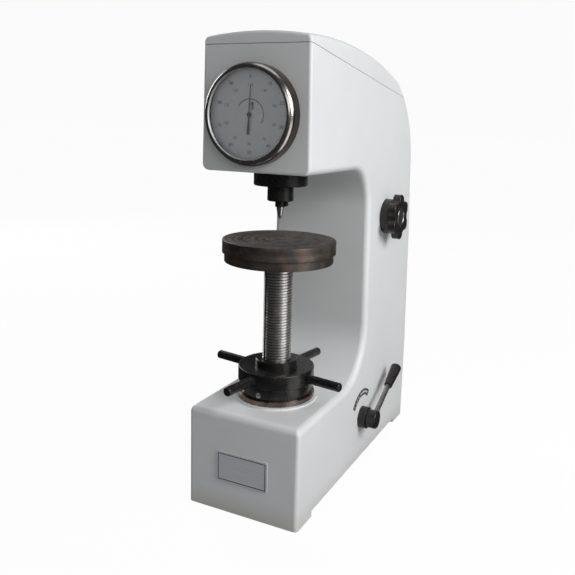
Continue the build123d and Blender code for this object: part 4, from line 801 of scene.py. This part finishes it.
# ---- studio: a white floor and world, soft lamps, and glowing cards that only gloss can see: a dim room that paints dark reflections and a bright strip that paints highlight streaks
studio = {"floorSize": 80.0, "floorTone": 0.38, "floorPrint": 0.92, "floorGlow": 0.96,
          "worldTone": (0.97, 0.985, 1.0), "worldLevel": 0.22, "worldSeen": 0.965, "aim": (0, 0, 0.35),
          "wallRadius": 3.4, "wallHeight": 3.0, "wallSkylight": 0.3, "wallTone": 0.04, "wallStep": 12,
          "matRadius": 3.39, "matLift": 1 * mm, "matSides": 40,
          # a glowing strip seen only in reflections, painting highlight streaks
          "highlightCardNear": 0.3, "highlightCardFar": 3.06, "highlightCardAngles": (-27, 12), "highlightCardTone": 1.5,
          "highlightCardLift": 2 * mm}
lamps = {
    "keyLamp": {"place": (1.6, -0.28, 1.2), "size": 1.2, "power": 27.5},
    "fillLamp": {"place": (1.5, -1.9, 1.3), "size": 1.2, "power": 6.5},
    "backLamp": {"place": (-2.1, 1.1, 1.4), "size": 1.6, "power": 24.0},
}


def backgroundRays(tree):
    # 1 for rays that should see the white background: from the camera, off gloss and through glass
    path = addNode(tree, "ShaderNodeLightPath")
    first = addNode(tree, "ShaderNodeMath", operation="MAXIMUM")
    second = addNode(tree, "ShaderNodeMath", operation="MAXIMUM")
    tree.links.new(path.outputs["Is Camera Ray"], first.inputs[0])
    tree.links.new(path.outputs["Is Glossy Ray"], first.inputs[1])
    tree.links.new(first.outputs[0], second.inputs[0])
    tree.links.new(path.outputs["Is Transmission Ray"], second.inputs[1])
    return second.outputs[0]


def makeFloor(settings):
    half = settings["floorSize"] / 2
    corners = [(-half, -half, 0), (half, -half, 0), (half, half, 0), (-half, half, 0)]
    mesh = bpy.data.meshes.new("floor")
    mesh.from_pydata(corners, [], [(0, 1, 2, 3)])
    floor = bpy.data.objects.new("floor", mesh)
    bpy.context.scene.collection.objects.link(floor)
    mat, tree, out = emptyMaterial("paleFloor")
    matt = addNode(tree, "ShaderNodeBsdfDiffuse")
    path = addNode(tree, "ShaderNodeLightPath")
    stops = (0.0, settings["floorTone"]), (1.0, settings["floorPrint"])
    tree.links.new(ramp(tree, path.outputs["Is Camera Ray"], *stops), matt.inputs["Color"])
    glow = addNode(tree, "ShaderNodeEmission", {"Color": (1, 1, 1, 1), "Strength": 1.0})
    share = addNode(tree, "ShaderNodeMath", {1: settings["floorGlow"]}, operation="MULTIPLY")
    mix = addNode(tree, "ShaderNodeMixShader")
    tree.links.new(backgroundRays(tree), share.inputs[0])
    tree.links.new(share.outputs[0], mix.inputs["Fac"])
    tree.links.new(matt.outputs[0], mix.inputs[1])
    tree.links.new(glow.outputs[0], mix.inputs[2])
    tree.links.new(mix.outputs[0], out.inputs["Surface"])
    mesh.materials.append(mat)


def makeWorld(settings):
    world = bpy.data.worlds.new("studio")
    bpy.context.scene.world = world
    world.use_nodes = True
    tree = world.node_tree
    tree.nodes.clear()
    out = addNode(tree, "ShaderNodeOutputWorld")
    tone = (*settings["worldTone"], 1)
    soft = addNode(tree, "ShaderNodeBackground", {"Color": tone, "Strength": settings["worldLevel"]})
    seen = {"Color": (1, 1, 1, 1), "Strength": settings["worldSeen"]}
    white = addNode(tree, "ShaderNodeBackground", seen)
    mix = addNode(tree, "ShaderNodeMixShader")
    tree.links.new(backgroundRays(tree), mix.inputs["Fac"])
    tree.links.new(soft.outputs[0], mix.inputs[1])
    tree.links.new(white.outputs[0], mix.inputs[2])
    tree.links.new(mix.outputs[0], out.inputs["Surface"])


def glossCard(name, bm, tone):
    # a plain glowing surface that only reflections can see
    mesh = bpy.data.meshes.new(name)
    bm.to_mesh(mesh)
    bm.free()
    board = bpy.data.objects.new(name, mesh)
    bpy.context.scene.collection.objects.link(board)
    mat, tree, out = emptyMaterial(name)
    glow = addNode(tree, "ShaderNodeEmission", {"Color": (tone, tone, tone, 1), "Strength": 1.0})
    tree.links.new(glow.outputs[0], out.inputs["Surface"])
    mesh.materials.append(mat)
    for way in ("camera", "diffuse", "shadow", "transmission", "volume_scatter"):
        setattr(board, "visible_" + way, False)


def makeDarkRoom(settings):
    # dark walls, ceiling and floor round the object, with a round skylight, seen only in reflections:
    # painted dark reflections on the metal and the paint
    bm = bmesh.new()
    radius, height, skylight = settings["wallRadius"], settings["wallHeight"], settings["wallSkylight"]
    rows = []
    for angle in range(0, 360, settings["wallStep"]):
        turn = math.radians(angle)
        x, y = radius * math.sin(turn), -radius * math.cos(turn)
        spots = (x, y, 0), (x, y, height), (x * skylight, y * skylight, height)
        rows.append([bm.verts.new(spot) for spot in spots])
    for here, there in zip(rows, rows[1:] + rows[:1]):
        for a in (0, 1):
            bm.faces.new((here[a], there[a], there[a + 1], here[a + 1]))
    bmesh.ops.create_circle(bm, cap_ends=True, segments=settings["matSides"], radius=settings["matRadius"],
                            matrix=Matrix.Translation((0, 0, settings["matLift"])))
    glossCard("darkRoom", bm, settings["wallTone"])


def makeBenchGlow(settings):
    # a glowing strip on the floor to the right, seen only in reflections: painted highlight streaks on the
    # screw and the sleeve
    bm = bmesh.new()
    corners = []
    for x in (settings["highlightCardNear"], settings["highlightCardFar"]):
        for angle in settings["highlightCardAngles"]:
            y = screwAxis[1] + x * math.tan(math.radians(angle))
            corners.append(bm.verts.new((x, y, settings["highlightCardLift"])))
    bm.faces.new((corners[0], corners[2], corners[3], corners[1]))
    glossCard("highlightCard", bm, settings["highlightCardTone"])


def areaLamp(name, piece, aim):
    data = bpy.data.lights.new(name, "AREA")
    data.shape = "DISK"
    data.size = piece["size"]
    data.energy = piece["power"]
    lamp = bpy.data.objects.new(name, data)
    lamp.location = piece["place"]
    lamp.rotation_euler = (Vector(aim) - Vector(piece["place"])).to_track_quat("-Z", "Y").to_euler()
    bpy.context.scene.collection.objects.link(lamp)


makeFloor(studio)
makeWorld(studio)
makeDarkRoom(studio)
makeBenchGlow(studio)
for name, piece in lamps.items():
    areaLamp(name, piece, studio["aim"])

# ---- camera
cameraPiece = {"place": (0.42991, -0.94361, 0.52174), "lens": 43.06, "sensor": 36, "nearest": 0.05,
               "tilt": 79.978, "turn": 25.702, "roll": 1.744, "shiftX": -0.0246, "shiftY": -0.075}


def makeCamera(piece):
    data = bpy.data.cameras.new("camera")
    data.lens = piece["lens"]
    data.sensor_width = piece["sensor"]
    data.shift_x = piece["shiftX"]
    data.shift_y = piece["shiftY"]
    data.clip_start = piece["nearest"]
    camera = bpy.data.objects.new("camera", data)
    turn, tilt, roll = [Matrix.Rotation(math.radians(piece[key]), 4, axis)
                        for key, axis in (("turn", "Z"), ("tilt", "X"), ("roll", "Z"))]
    camera.matrix_world = Matrix.Translation(piece["place"]) @ (turn @ tilt) @ roll
    bpy.context.scene.collection.objects.link(camera)
    bpy.context.scene.camera = camera


makeCamera(cameraPiece)
bpy.context.scene.view_settings.view_transform = "Standard"
print("studio set")

print("scene ready")
